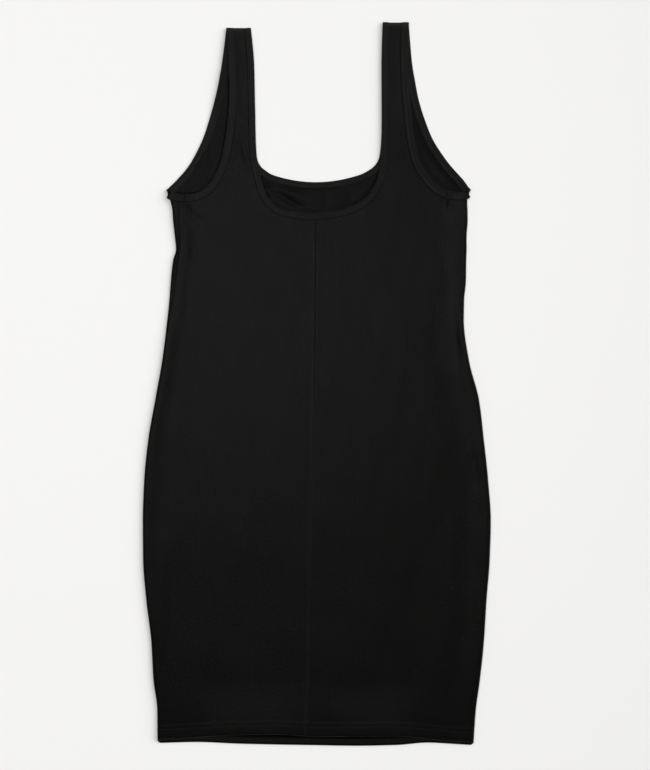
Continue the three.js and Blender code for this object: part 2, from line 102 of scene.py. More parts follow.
# Bindings, and the joins of the armholes' strips over the side seams
BINDING_SWELL = 0.12
BINDING_GROOVE = 0.13
BINDING_GROOVE_WIDTH = 0.5
BINDING_STEPS = 20
EDGE_ARC_STEPS = 7
BAR_END = 0.3
LIP = np.array([-0.1, 0.05, 0.2, 0.5, 0.8])
LIP_SUNK = 0.05
JOIN_SWELL = 0.4
JOIN_REACH = (2.5, 3.2)
JOIN_GROOVE = 0.3
JOIN_GROOVE_AT = 3.7
JOIN_GROOVE_WIDTH = 0.5
JOIN_FINE = 5
JOIN_STEP = 0.35
WOBBLE = 0.05
WOBBLE_WAVES = (7.3, 11.9)
PAST_STRAP = (0, 1, 0)
STRAP_LEAN = 0.34
LEAN_RUN = (320, 375)
LEAN_END = (449, 441)
LEAN_SIDE = -100

# Heights of the front's outer face above the table
BODY_LEVEL = 3.1
STRAP_LEVEL = 4
HEM_LEVEL = 4.8
FOLD_LEVEL = 6
FOLD_REACH = 3
FOLD_SPREAD = 15
LOWEST_DIP = 0.9
UNDERARM_EASE = 0.5
STRAP_RUN = (215, 250)
HEM_RUN = (-240, -430)
FOLD_END = (250, 290)
HEM_LIFT_RUN = 70

# Centre front seam and side seams, with the relief across them as shares of its depth
CENTRE_TOP = 208
CENTRE_LENGTH = 650
CENTRE_START = -0.3
CENTRE_LEAN = -11.2
CENTRE_POWER = 1.6
SEAM_ARMHOLE_X = {"left": -163, "right": 168}
SEAM_HEM = {"left": (-125, -443), "right": (120, -444)}
CENTRE_DEPTH = (0.1, 0.25)
CENTRE_DEPTH_RUN = (-100, 200)
CENTRE_HEM_DEPTH = 0.05
SIDE_DEPTH = 0.04
SIDE_HEM_DEPTH = 0.08
SEAM_BELLS = table("at width rise", [(-2.4, 1.7, 0.9), (2.4, 1.4, 0.2), (0, 0.8, -0.45)])
HEM_LUMPS = {"centre": (-1, 2.4, 0.25), "side": (-2, 2, 0.12)}
SEAM_ENDS = table("at width above length rise", [
    (1.4, 2, -6, 8, 0.25), (-1, 0.9, -5, 6, -0.4), (5, 2, -9, 5, -0.4), (-1, 5, -2.4, 1.6, -0.5),
])

SIDES = table("y left right", [
    (-452, -200.6, 197.6), (-410, -201, 200.6), (-372, -205.8, 205.7), (-322, -208.7, 210.9),
    (-271, -214.9, 214.1), (-221, -218.8, 218), (-171, -219.2, 219.4), (-120, -217.4, 216),
    (-70, -212.4, 210.7), (-20, -203.7, 204.7), (31, -194.7, 191.8), (81, -188.4, 185.4),
    (107, -185.7, 185.9), (132, -183.8, 188.2), (157, -181, 188.5), (170, -177.3, 189),
    (184, -178.6, 188.9), (207, -181.1, 190.3), (222, -182.3, 190), (232, -184.8, 189.6),
    (245, -187.6, 192),
])
HEM = table("x front back lift", [
    (-202, -447, -452, 0), (-150, -444, -450.8, 1.2), (-100, -441, -452.8, 2.6),
    (-50, -440.4, -454, 3.2), (0, -443.3, -454.8, 1.2), (50, -442.8, -455.5, 2.4),
    (100, -442.4, -454.6, 2.8), (140, -446.2, -451.5, 1), (170, -449, -453, 0.4),
    (200, -450.4, -454.8, 0),
])

# Folds that the cloth's solid has, and finer ones: each runs from one place to the other, bowed sideways
FADE_PAST = 0.1
FADE_FULL = 0.3
FOLDS = table("x0 y0 x1 y1 bow rise width", [
    (-100, 338, -88, 272, 2, -0.4, 6), (-100, 334, -110, 272, -2, -0.4, 5),
    (-172, 225, -140, 196, 0, 0.5, 7), (172, 231, 170, 198, 0, 0.6, 7),
    (176, 120, 196, 20, 3, 0.8, 8), (170, 140, 178, 15, 2, -0.7, 9),
    (-196, -190, -198, -370, -2, 0.5, 8), (-183, -205, -190, -360, -2, -0.4, 9),
    (196, -85, 203, -135, 0, -0.6, 6),
])
CREASES = table("x0 y0 x1 y1 bow rise width", [
    (-172, 224, -187, 78, -2.5, -0.7, 1.5), (-172, 228, -186, 66, -2.5, -1.3, 8),
    (-166, 224, -146, 203, 0, 0.28, 3), (-163, 219, -144, 199, 0, -0.4, 2.5),
    (185, 230, 183, 60, 0, -1.2, 9), (-164, 152, -164, 88, 0, -0.15, 4), (-98, 322, -96, 280, 0, 0.25, 3.5),
    (-101, 336, -96, 324, 0, -0.4, 1.6), (-97, 322, -84, 274, 1, -0.35, 3),
    (172, 128, 180, 28, 1, -0.3, 4), (181, 104, 198, 16, 2, 0.25, 4),
    (-104, 440, -101, 340, 0, 0.35, 4), (-94, 440, -91, 330, 0, -0.35, 4), (98, 440, 101, 330, 0, -0.12, 4),
    (-158, 100, -190, -120, -2, 0.9, 14), (-192, -110, -174, -450, 2, 0.9, 15),
    (150, 90, 168, -60, 2, -0.25, 12), (-130, 60, -158, -90, -2, 0.2, 14),
    (60, -120, 80, -330, 0, 0.2, 20), (-70, -150, -95, -340, 0, -0.2, 18),
    (120, -190, 135, -360, 0, -0.2, 14), (-30, 120, -42, -40, 0, 0.2, 20),
    (40, 150, 60, 30, 0, -0.2, 18), (168, -150, 176, -330, 0, 0.25, 10),
    (-150, -300, -152, -420, 0, 0.2, 9), (20, -350, 22, -430, 0, 0.2, 10),
])

# Back's inside in the openings: its soft rises, then its swell in the neckline, left and right armhole
REAR_FOLDS = table("x0 y0 x1 y1 bow rise width", [
    (-57, 246, -14, 219, 0, -1.1, 3.4), (-48, 252, -6, 226, 0, 0.4, 5), (-70, 266, -61, 236, 2, 1.5, 7),
    (12, 248, 10, 217, 0, -1, 2.6), (43, 246, 40, 219, 0, -0.7, 2.8),
    (146, 292, 172, 254, 2, 0.5, 6), (-131, 300, -140, 262, -1, -0.4, 4),
    (-139, 300, -158, 264, -1, 0.3, 5),
])
OPENINGS_FROM = 190
SWELL = table("bulge step step_reach height reach", [
    (0, 0.9, 3, 1.1, 32), (0, 0.7, 2.2, 0.6, 22), (1.2, 0.05, 7, 1.2, 16),
])
BULGE_WIDTH = 6
SHOWN_RUN = (-2, 2)
KEPT = (0.7, 0.9, 0.2)
KEPT_RUN = (9, 18)
OWN_EDGE_RUN = (4, 9)

# Finished edges of the neckline: the front's runs from right to left and the back's from left to right
FRONT_NECK = [
    (83, 454.3), (81.6, 409), (81.8, 333), (81.2, 290), (78.6, 268), (71, 247.5), (57, 231.3),
    (35.7, 221.8), (8, 216.8), (-18.5, 216.4), (-46, 222.2), (-61.5, 236.5), (-69.2, 257),
    (-74.4, 279), (-76.6, 305), (-77.8, 358), (-79.1, 409), (-82.8, 447.4),
]
BACK_NECK = [
    (-82.8, 447.4), (-79.1, 409), (-77.8, 358), (-76.8, 310), (-75.4, 287), (-71.4, 276.4),
    (-64.6, 270), (-54.3, 264), (-28.9, 257.6), (-0.8, 255.2), (26.9, 257.6), (53, 264),
    (66, 270.3), (73.8, 276.8), (78.6, 286), (81, 305), (81.8, 333), (81.6, 409), (83, 454.3),
]
# Armholes, each from the strap fold down to the underarm
ARMHOLES = {
    ("left", "front"): [
        (-114.2, 447.4), (-111.7, 404), (-110.2, 368), (-112, 337), (-115.5, 308), (-120.5, 284),
        (-128.6, 263.5), (-138.2, 250), (-150.5, 242.2), (-165.9, 240), (-176.5, 241.1), (-183.4, 243),
    ],
    ("left", "back"): [
        (-114.2, 447.4), (-119, 409), (-123.2, 383.7), (-128.6, 358.5), (-135.6, 333.3),
        (-144.2, 308), (-156.7, 283), (-166, 269.5), (-176.4, 257.8), (-187.2, 247.2),
    ],
    ("right", "front"): [
        (116.2, 454.3), (115.2, 414), (116.4, 378), (119.2, 348), (122.2, 317), (128, 288),
        (137.8, 268), (150.6, 252), (164.2, 244.2), (176, 242), (182, 242.3), (187.8, 243.6),
    ],
    ("right", "back"): [
        (116.2, 454.3), (119.9, 409), (123.8, 384), (128.8, 358.5), (136.6, 333.3),
        (147, 308), (162.6, 284), (173.8, 270.3), (184.6, 258.4), (192, 248),
    ],
}

# Painted highlights: paleness painted along the ridge beside the centre seam, over the straps and along
# their folds, where light catches the cloth
SEAM_HIGHLIGHT = 0.13
SEAM_HIGHLIGHT_FROM = 2.6
SEAM_HIGHLIGHT_WIDTH = 2.4
SEAM_HIGHLIGHT_RUN = (130, -60)
STRAP_HIGHLIGHT = 0.13
STRAP_HIGHLIGHT_RUN = (290, 380)
FOLD_HIGHLIGHT = 0.8
FOLD_HIGHLIGHT_WIDTH = 2.2

# Material values, with lengths in metres: the knit and the fuzz are alike on all the cloth
WALE = 0.0008
COURSE = 0.8 * WALE
KNIT_DRIFT = 0.0016
KNIT_DRIFT_SCALE = 90
LEG_LEAN = 1.4
COURSE_SHARE = 0.4
TONES = table("across along scale detail weight", [
    (1, 0.06, 520, 2, 0.3), (0.6, 1, 360, 2, 0.36), (1, 1, 34, 3, 0.14), (1, 1, 900, 1, 0.2),
])
LINT_SCALE = 150
LINT_STRETCH = 0.45
LINT_SIZE = 0.07
LINT_PATCHES = 70
LINT_FROM = 0.66
TONE_ROUGH = 0.24
TONE_RELIEF = 16
RELIEF_STRENGTH = 0.6
FUZZ = 0.24
FUZZ_ROUGH = 0.37
FUZZ_TINT = (1, 1, 0.86, 1)
PLIES_SCALE = 900
PLIES_SHADE = 0.7
THREAD_ROUGH = 0.5
THREAD_GLOSS = 0.14

# Rows and steps of the grids
CHEST_STEPS = 20
STRAP_STEPS = 75
YOKE_STEPS = 12
YOKE_RISE = 6
BACK_STRAP_STEPS = 80
UNDERARM_STEPS = 26
WRAP_STEPS = 26
FOLD_STEPS = 12
BACK_HALF_STEPS = 44
FRONT_COLUMNS = 78
SEAM_COLUMNS = np.array([0, 0.4, 0.8, 1.2, 1.7, 2.2, 2.8, 3.5, 4.4, 5.4]) / 150
FRONT_ROW_STEP = 2.6
BACK_ROW_STEP = 4
HEM_ARC_STEPS = 9
STRAP_ROW_POWER = 1.3
STRAP_BEND_POWER = 1.6
END_ROWS = np.array([0.5, 0.8, 0.93])
BEND_LENGTH = 11
SPLINE_STEPS = 4000
EDGE_STEPS = 1200
BEND_SHARE = 0.5
CHEST_ROW = 180
YOKE_ROW = 222
BODY_HEIGHT = 660
WELD = 0.002

# Table, lamps and camera
TABLE_HALF = 4000
TABLE_DROP = 0.4
TABLE_COLOUR = (0.8, 0.795, 0.785, 1)
TABLE_ROUGH = 0.9
TABLE_GLOSS = 0.1
SOFT_BOX_SIZE = 1000
SOFT_BOX_POWER = 67
SOFT_BOX_PLACE = (-540, 330, 3500)
KEY_WIDTH = 60
KEY_STRENGTH = 2.15
KEY_PLACE = (4800, 1500, 4500)
SKY_COLOUR = (0.98, 0.99, 1, 1)
SKY_STRENGTH = 0.18
PIXEL = 1.26
FRAME_SIZE = (650, 770)
FRAME_CENTRE = (10.5, -0.6)
CAMERA_HEIGHT = 2600
SENSOR = 36

Stretch = namedtuple("Stretch", "at across front")


def smoothstep(x, low, high):
    """Smooth ramp from 0 at low to 1 at high."""
    t = np.clip((x - low) / (high - low), 0, 1)
    return t * t * (3 - 2 * t)


def ramp(run, y):
    """Smooth ramp from 0 to 1 between two heights on the dress, in either direction."""
    start, end = run
    return smoothstep(y, start, end) if start < end else 1 - smoothstep(y, end, start)


def bell(x, width):
    """Bell of height 1 round zero: e to the minus square of x over width."""
    return np.exp(-(x / width) ** 2)


def mix(a, b, t):
    """Place between a and b at the share t of the way."""
    return a + (b - a) * t


def unit(v):
    """Directions of unit length."""
    return v / np.linalg.norm(v, axis=-1, keepdims=True)


def smooth_column(rows, key, name):
    """Function through two columns of a table: between rows a cubic, whose slope at a row is the
    harmonic mean of the slopes on both sides, or none where they differ in sign."""
    x, value = rows[key], rows[name]
    slope = np.diff(value) / np.diff(x)
    before = np.concatenate([slope[:1], slope])
    after = np.concatenate([slope, slope[-1:]])
    agree = before * after > 0
    tangent = np.where(agree, 2 * before * after / np.where(agree, before + after, 1), 0)

    def at(place):
        i = np.clip(np.searchsorted(x, place) - 1, 0, len(x) - 2)
        span = x[i + 1] - x[i]
        t = np.clip((place - x[i]) / span, 0, 1)
        ends = tangent[i] * t * (1 - t) ** 2 - tangent[i + 1] * t * t * (1 - t)
        return mix(value[i], value[i + 1], t * t * (3 - 2 * t)) + span * ends

    return at


side_fold = {side: smooth_column(SIDES, "y", side) for side in OUTWARD}
hem_front = smooth_column(HEM, "x", "front")
hem_back = smooth_column(HEM, "x", "back")
hem_lift = smooth_column(HEM, "x", "lift")


def centre_x(y):
    """The centre seam: it leans to the left with the 1.6th power of the way down from the neckline."""
    down = np.clip((CENTRE_TOP - y) / CENTRE_LENGTH, 0, 1)
    return CENTRE_START + CENTRE_LEAN * down ** CENTRE_POWER


def shoulder_x(side, y):
    """Inner end of the side fold's bend."""
    return side_fold[side](y) - OUTWARD[side] * FOLD_REACH


def fold_rise(folds, x, y):
    """Sum of soft folds: each is a bell across a bowed line, faded in and out along it."""
    x, y = x[..., None], y[..., None]
    dx, dy = folds["x1"] - folds["x0"], folds["y1"] - folds["y0"]
    length = np.hypot(dx, dy)
    from_x, from_y = x - folds["x0"], y - folds["y0"]
    t = (from_x * dx + from_y * dy) / length ** 2
    off = (from_x * dy - from_y * dx) / length - folds["bow"] * 4 * t * (1 - t)
    faded = smoothstep(t, -FADE_PAST, FADE_FULL) * smoothstep(1 - t, -FADE_PAST, FADE_FULL)
    return (folds["rise"] * faded * bell(off, folds["width"])).sum(axis=-1)


def ripple(x, y):
    """Slight unevenness of cloth that was smoothed by hand: a sum of long crossed sine waves."""
    waves = table("across up start height", [
        (61, 173, 0.4, 0.06), (97, -241, 2.1, 0.07), (-43, 119, 4.4, 0.03),
        (151, 83, 1.3, 0.06), (-29, 311, 5.2, 0.03), (23, 67, 3.3, 0.02),
    ])
    phase = x[..., None] * 2 * np.pi / waves["across"] + y[..., None] * 2 * np.pi / waves["up"]
    return (waves["height"] * np.sin(phase + waves["start"])).sum(axis=-1)


def front_height(x, y):
    """Height of the front's outer face: its level, the rise to the side folds, the lift of the hem and
    the folds, never much below the level."""
    strap = (STRAP_LEVEL - BODY_LEVEL) * ramp(STRAP_RUN, y)
    hem = (HEM_LEVEL - BODY_LEVEL) * ramp(HEM_RUN, y)
    level = BODY_LEVEL + strap + hem
    inside = np.maximum(0, np.minimum(x - shoulder_x("left", y), shoulder_x("right", y) - x))
    puff = (FOLD_LEVEL - level) * bell(inside, FOLD_SPREAD) * (1 - ramp(FOLD_END, y))
    lift = hem_lift(x) * (1 - smoothstep((y - hem_front(x)) / HEM_LIFT_RUN, 0, 1))
    folds = fold_rise(FOLDS, x, y) + fold_rise(CREASES, x, y) + ripple(x, y)
    return np.maximum(level - LOWEST_DIP, level + puff + lift + folds)


def row_grooves(above):
    """Grooves of the hem's rows of stitches, by the way above its edge: a bell on each."""
    return sum(bell(above - row, ROW_GROOVE_WIDTH) for row in HEM_ROWS)


def hem_relief(above, along):
    """Relief of the turned-up hem by the way above its edge: a raised band, a soft roll, a groove pulled
    in by each row of stitches, and puckers along the rows."""
    band = HEM_BAND * (1 - smoothstep(above, *HEM_BAND_END))
    roll = HEM_ROLL * (1 - smoothstep(above, *HEM_ROLL_RUN))
    pucker = sum(bell(above - row, PUCKER_WIDTH) for row in HEM_ROWS)
    wave = sum(np.cos(2 * np.pi * along / length) for length in PUCKER_WAVES)
    return band + roll - ROW_GROOVE * row_grooves(above) + PUCKER * pucker * wave


def seam_relief(across, depth):
    """Relief beside a plain seam: a narrow groove on it, a ridge over the seam allowance, which is pressed
    to the left, and a low one on the right."""
    bells = bell(across[..., None] - SEAM_BELLS["at"], SEAM_BELLS["width"])
    return depth * (SEAM_BELLS["rise"] * bells).sum(axis=-1)


def hem_lump(seam, across):
    """Lump where the layers of a seam's allowance are turned up in the hem."""
    at, width, rise = HEM_LUMPS[seam]
    return rise * bell(across - at, width)


def panel_height(x, y):
    """Height of the front's outer face with its seams and its hem."""
    above = y - hem_front(x)
    in_hem = 1 - smoothstep(above, *HEM_BAND_END)
    from_centre = x - centre_x(y)
    depth = mix(*CENTRE_DEPTH, smoothstep(y, *CENTRE_DEPTH_RUN)) + CENTRE_HEM_DEPTH * in_hem
    relief = seam_relief(from_centre, depth) + in_hem * hem_lump("centre", from_centre)
    for side in OUTWARD:
        from_seam = x - seam_x(side, y)
        relief = relief + seam_relief(from_seam, SIDE_DEPTH + SIDE_HEM_DEPTH * in_hem)
        relief = relief + in_hem * hem_lump("side", from_seam)
        relief = relief + seam_end_relief(from_seam, y - seam_top[side][1])
    return front_height(x, y) + relief + hem_relief(above, x)


def seam_end_relief(from_seam, above):
    """Relief where a side seam runs into the armhole's binding: a raised end of the seam, a groove on its
    left, and hollows on its right and next to the binding. Each is a bell across times one along."""
    across = bell(from_seam[..., None] - SEAM_ENDS["at"], SEAM_ENDS["width"])
    along = bell(above[..., None] - SEAM_ENDS["above"], SEAM_ENDS["length"])
    return (SEAM_ENDS["rise"] * across * along).sum(axis=-1)


def lengths(line):
    """Way along a line of places up to each of them."""
    return np.concatenate([[0], np.cumsum(np.linalg.norm(np.diff(line, axis=0), axis=1))])


def read_rows(at, keys, rows):
    """Rows of numbers interpolated by their keys."""
    return np.stack([np.interp(at, keys, column) for column in rows.T], axis=1)


def smooth_line(points):
    """Catmull-Rom curve through the points, at even steps of its length."""
    places = np.array(points, float)
    padded = np.vstack([places[:1], places, places[-1:]])
    t = np.linspace(0, len(places) - 1, SPLINE_STEPS)
    i = np.minimum(t.astype(int), len(places) - 2)
    w = (t - i)[:, None]
    a, b, c, d = (padded[i + k] for k in range(4))
    leave, arrive = (c - a) / 2, (d - b) / 2
    cubic = 2 * b - 2 * c + leave + arrive
    square = 3 * c - 3 * b - 2 * leave - arrive
    curve = ((cubic * w + square) * w + leave) * w + b
    way = lengths(curve)
    return read_rows(np.linspace(0, way[-1], EDGE_STEPS), way, curve)


def cut_at_x(line, x):
    """The two parts of a line on either side of the place where it last passes an x."""
    beyond = line[:, 0] > x
    i = np.nonzero(beyond[1:] != beyond[:-1])[0][-1]
    cut = mix(line[i], line[i + 1], (x - line[i, 0]) / (line[i + 1, 0] - line[i, 0]))
    return np.vstack([line[:i + 1], cut]), np.vstack([cut, line[i + 1:]])


def stretch(line, count, front):
    """Places along a finished edge, spaced half by length and half by bend, with the way to the cloth:
    the run turned by a quarter, to the left on the front and to the right on the back."""
    runs = unit(np.gradient(line, axis=0))
    turns = np.arccos(np.clip((runs[1:] * runs[:-1]).sum(axis=1), -1, 1))
    bend = np.concatenate([[0], np.cumsum(turns)])
    length = lengths(line)
    share = (1 - BEND_SHARE) * length / length[-1] + BEND_SHARE * bend / bend[-1]
    t = np.linspace(0, 1, count + 1)
    run = unit(read_rows(t, share, runs))
    hand = 1 if front else -1
    across = hand * np.stack([-run[:, 1], run[:, 0]], axis=1)
    return Stretch(read_rows(t, share, line), across, front)


def backwards(part):
    """The same stretch from its other end."""
    return Stretch(part.at[::-1], part.across[::-1], part.front)


def joined(*parts):
    """Stretches of one edge taken together."""
    return Stretch(np.vstack([p.at for p in parts]), np.vstack([p.across for p in parts]), parts[0].front)


def cloth_edge(part, inset):
    """Line at an inset from a finished edge, towards the cloth."""
    return part.at + part.across * inset


half_neck = CHEST_STEPS + STRAP_STEPS
front_neck_right, front_neck_left = (
    stretch(half, half_neck, True) for half in cut_at_x(smooth_line(FRONT_NECK), CENTRE_START)
)
back_neck_left, back_neck_right = (
    stretch(half, BACK_STRAP_STEPS, False) for half in cut_at_x(smooth_line(BACK_NECK), CENTRE_START)
)
front_neck = {"left": front_neck_left, "right": backwards(front_neck_right)}
back_neck = {"left": backwards(back_neck_left), "right": back_neck_right}


def armhole(side):
    """Stretches of an armhole in the order of its binding, from the side seam round to it again."""
    strap, underarm = cut_at_x(smooth_line(ARMHOLES[side, "front"]), SEAM_ARMHOLE_X[side])
    rear = smooth_line(ARMHOLES[side, "back"])[::-1]
    way = 1 if side == "left" else -1
    return {
        "underarm": stretch(underarm[::way], UNDERARM_STEPS, True),
        "rear": stretch(rear[::way], YOKE_STEPS + BACK_STRAP_STEPS - 1, False),
        "strap": stretch(strap[::way], STRAP_STEPS, True),
    }


armholes = {side: armhole(side) for side in OUTWARD}


def upwards(side, name):
    """A stretch of an armhole, counted from the underarm or the side seam."""
    part = armholes[side][name]
    return part if (side == "left") == (name != "strap") else backwards(part)


seam_top = {
    side: cloth_edge(upwards(side, "strap"), ARM_BINDING + SEAM_GAP)[0] for side in OUTWARD
}


def seam_x(side, y):
    """Side seam: a straight line from the hem to the armhole's binding."""
    x, low = SEAM_HEM[side]
    top_x, top_y = seam_top[side]
    return mix(x, top_x, (y - low) / (top_y - low))


def height_on(line, x):
    """Height on the dress of a line that runs across it, at an x, carried on straight past its ends."""
    order = np.argsort(line[:, 0])
    along, up = line[order, 0], line[order, 1]
    i = np.clip(np.searchsorted(along, x) - 1, 0, len(along) - 2)
    return mix(up[i], up[i + 1], (x - along[i]) / (along[i + 1] - along[i]))


def way_in(part, x, y):
    """Way from a finished edge to places, across the edge and towards the cloth: that of the nearest
    place on the edge."""
    places = np.stack([x.ravel(), y.ravel()], axis=1)
    away = places[:, None] - part.at[None]
    nearest = np.argmin((away ** 2).sum(axis=2), axis=1)
    row = np.arange(len(places))
    return (away[row, nearest] * part.across[nearest]).sum(axis=1).reshape(x.shape)


OPENING_EDGES = [
    joined(front_neck["left"], front_neck["right"]),
    joined(armholes["left"]["strap"], armholes["left"]["underarm"]),
    joined(armholes["right"]["strap"], armholes["right"]["underarm"]),
]
OWN_EDGES = [joined(*back_neck.values()), armholes["left"]["rear"], armholes["right"]["rear"]]


def rear_height(x, y):
    """Rise of the back's outer face off the table. Inside the neckline and the armholes the cloth swells
    up from the front's finished edge: by a quick step, then more slowly, and over a bulge along the edge
    where it has one. There it has its own soft folds. Near its own binding only a share of the swell is
    kept, and it comes down to the table under the binding."""
    rise = np.zeros(x.shape)
    seen = y > OPENINGS_FROM
    x, y = x[seen], y[seen]
    swell = np.zeros(len(x))
    shown = np.zeros(len(x))
    for front_edge, row in zip(OPENING_EDGES, SWELL):
        inside = -way_in(front_edge, x, y)
        swell += row["step"] * smoothstep(inside, 0, row["step_reach"])
        swell += row["height"] * smoothstep(inside, 0, row["reach"])
        swell += row["bulge"] * bell(inside, BULGE_WIDTH)
        shown += smoothstep(inside, *SHOWN_RUN)
    swell = np.maximum(0, swell + fold_rise(REAR_FOLDS, x, y) * np.minimum(shown, 1))
    for edge, kept in zip(OWN_EDGES, KEPT):
        from_own = way_in(edge, x, y)
        swell *= smoothstep(from_own, *OWN_EDGE_RUN) * mix(kept, 1, smoothstep(from_own, *KEPT_RUN))
    rise[seen] = swell
    return rise


def hem_rows(step):
    """Rows of a panel from inside its turned-up hem, round the hem's edge and up: the share of the way to
    the underarm, and the depth below the outer face. The edge is a half round of the hem's thickness. The
    turned-up cloth dips towards the stitches and puffs out past them."""
    radius = HEM_THICK / 2
    turned = np.array([*TURNED_ROWS, radius])
    angle = np.linspace(0, np.pi, HEM_ARC_STEPS)[1:-1]
    rounded = radius * (1 - np.sin(angle))
    sewn = np.arange(radius, HEM_DEPTH + HEM_PAST, HEM_STEP)
    rest = np.linspace(HEM_DEPTH + HEM_PAST, BODY_HEIGHT, round((BODY_HEIGHT - HEM_DEPTH) / step))
    above = np.concatenate([turned, rounded, sewn, rest])
    dip = TURNED_DIP * smoothstep(turned, *TURNED_DIP_RUN)
    puff = TURNED_PUFF * smoothstep(turned, *TURNED_PUFF_RUN)
    face = np.zeros(len(sewn) + len(rest))
    depth = np.concatenate([HEM_THICK - dip + puff, radius * (1 + np.cos(angle)), face])
    return above / BODY_HEIGHT, depth


def closed_end(line):
    """A line with closer places before its end, so that the end's rim is not shaded into the cloth."""
    last = mix(line[-2], line[-1], END_ROWS[:, None])
    return np.vstack([line[:-1], last, line[-1:]])


def front_panel(side):
    """Half of the front as one grid: rows ruled from the side seam and armhole to the centre seam and
    neckline, with the height from the panel's relief."""
    neck = cloth_edge(front_neck[side], NECK_BINDING - TUCK)
    arm = cloth_edge(upwards(side, "strap"), ARM_BINDING - TUCK)
    neck[0, 0] = centre_x(neck[0, 1])
    arm[0, 0] = seam_x(side, arm[0, 1])
    neck[-1, 1] = arm[-1, 1] = STRAP_FOLD[side] - SEAM_GAP
    low = SEAM_HEM[side][1]
    outer_hem = hem_front(seam_x(side, low))
    inner_hem = hem_front(centre_x(low))
    share, depth = hem_rows(FRONT_ROW_STEP)
    chest = np.linspace(0, 1, CHEST_STEPS + 1)[1:]
    outer_y = np.concatenate([mix(outer_hem, CHEST_ROW, share), mix(CHEST_ROW, arm[0, 1], chest)])
    outer = np.stack([seam_x(side, outer_y), outer_y], axis=1)
    inner_y = mix(inner_hem, neck[0, 1], share)
    inner = np.stack([centre_x(inner_y), inner_y], axis=1)
    outer = closed_end(np.vstack([outer, arm[1:]]))
    inner = closed_end(np.vstack([inner, neck[1:]]))
    across = fine_ends(FRONT_COLUMNS, SEAM_COLUMNS)[None, :, None]
    places = mix(outer[:, None], inner[:, None], across)
    share = np.concatenate([share, np.ones(len(outer) - len(share))])[:, None]
    depth = np.concatenate([depth, np.zeros(len(outer) - len(depth))])[:, None]
    curve = hem_front(places[..., 0]) - mix(outer_hem, inner_hem, across[..., 0])
    places[..., 1] += (1 - share) * curve
    x, y = places[..., 0], places[..., 1]
    points = np.dstack([x, y, panel_height(x, y) - depth])
    cloth = np.dstack([x, y - 2 * depth])
    return (points, cloth) if side == "left" else (points[:, ::-1], cloth[:, ::-1])


def fine_ends(count, ends):
    """Shares from 0 to 1, even but for finer ones at both ends."""
    middle = np.linspace(ends[-1], 1 - ends[-1], count)
    return np.concatenate([ends[:-1], middle, 1 - ends[-2::-1]])


def underarm_top(side):
    """Top of the back's cloth at the underarm: its line on the front, and its height where it meets the
    table."""
    under = cloth_edge(upwards(side, "underarm"), ARM_BINDING - TUCK)
    rear = cloth_edge(upwards(side, "rear"), ARM_BINDING - TUCK)[0]
    bend = mix(under[-1], rear, 0.5)
    bend[0] += OUTWARD[side] * FOLD_REACH
    low = height_on(np.array([bend, rear]), shoulder_x(side, rear[1]))
    return under, low - UNDERARM_EASE


underarms = {side: underarm_top(side) for side in OUTWARD}


def back_side(side):
    """The back's cloth from a side seam on the front, round the side fold to the table: first ruled from
    the seam to the fold, then a half round whose height is the front's at the fold."""
    out = OUTWARD[side]
    under, low = underarms[side]
    share, depth = hem_rows(BACK_ROW_STEP)
    share, depth = share[:, None], depth[:, None]
    seam_hem_x = SEAM_HEM[side][0]
    hem_end = shoulder_x(side, hem_back(seam_hem_x))
    top_end = shoulder_x(side, under[-1, 1])
    t = fine_ends(WRAP_STEPS, SEAM_COLUMNS)[None, :WRAP_STEPS + len(SEAM_COLUMNS) - 1]
    t = t / t[0, -1]
    hem_y = hem_front(mix(seam_hem_x, hem_end, t))
    top_y = height_on(under, mix(seam_top[side][0], top_end, t)) - UNDERARM_EASE * t
    y = mix(hem_y, top_y, share)
    x = mix(seam_x(side, y), shoulder_x(side, y), t)
    flat = np.dstack([x, y, panel_height(x, y) - depth])
    beyond = 2 * shoulder_x(side, y) + out * BEND_LENGTH - x
    flat_cloth = np.dstack([beyond, y - 2 * depth])

    t = np.linspace(0, 1, FOLD_STEPS + 1)[None, 1:-1]
    hem_y = mix(hem_front(hem_end), hem_back(hem_end), t)
    top_y = mix(height_on(under, top_end) - UNDERARM_EASE, low, t)
    y = mix(hem_y, top_y, share)
    start = shoulder_x(side, y)
    half = panel_height(start, y) / 2
    x = start + out * (FOLD_REACH - depth) * np.sin(t * np.pi)
    bend = np.dstack([x, y, half + (half - depth) * np.cos(t * np.pi)])
    bend_cloth = np.dstack([start + out * BEND_LENGTH * (1 - t), y - 2 * depth])
    return np.concatenate([flat, bend], axis=1), np.concatenate([flat_cloth, bend_cloth], axis=1)


def back_flat():
    """The back's cloth on the table, ruled in halves from each fold to the centre line, with the grooves
    of the hem's stitches in its outer face."""
    share, depth = hem_rows(BACK_ROW_STEP)
    share, depth = share[:, None], depth[:, None]
    t = np.linspace(0, 1, BACK_HALF_STEPS + 1)[None]
    centre_hem = hem_back(np.array(CENTRE_START + CENTRE_LEAN))
    halves = []
    for side in ("right", "left"):
        fold_hem = hem_back(OUTWARD[side] * HEM["x"][-1])
        fold_y = mix(fold_hem, underarms[side][1], share)
        centre_y = mix(centre_hem, YOKE_ROW, share)
        x = mix(shoulder_x(side, fold_y), centre_x(centre_y), t)
        y = mix(fold_y, centre_y, t)
        y = y + (1 - share) * (hem_back(x) - mix(fold_hem, centre_hem, t))
        halves.append((x, y))
    x, y = (np.hstack([right, left[:, -2::-1]]) for right, left in zip(*halves))
    rise = REAR_GROOVE * row_grooves(y - hem_back(x)) + rear_height(x, y)
    return np.dstack([x, y, rise + depth]), np.dstack([x, y - 2 * depth])


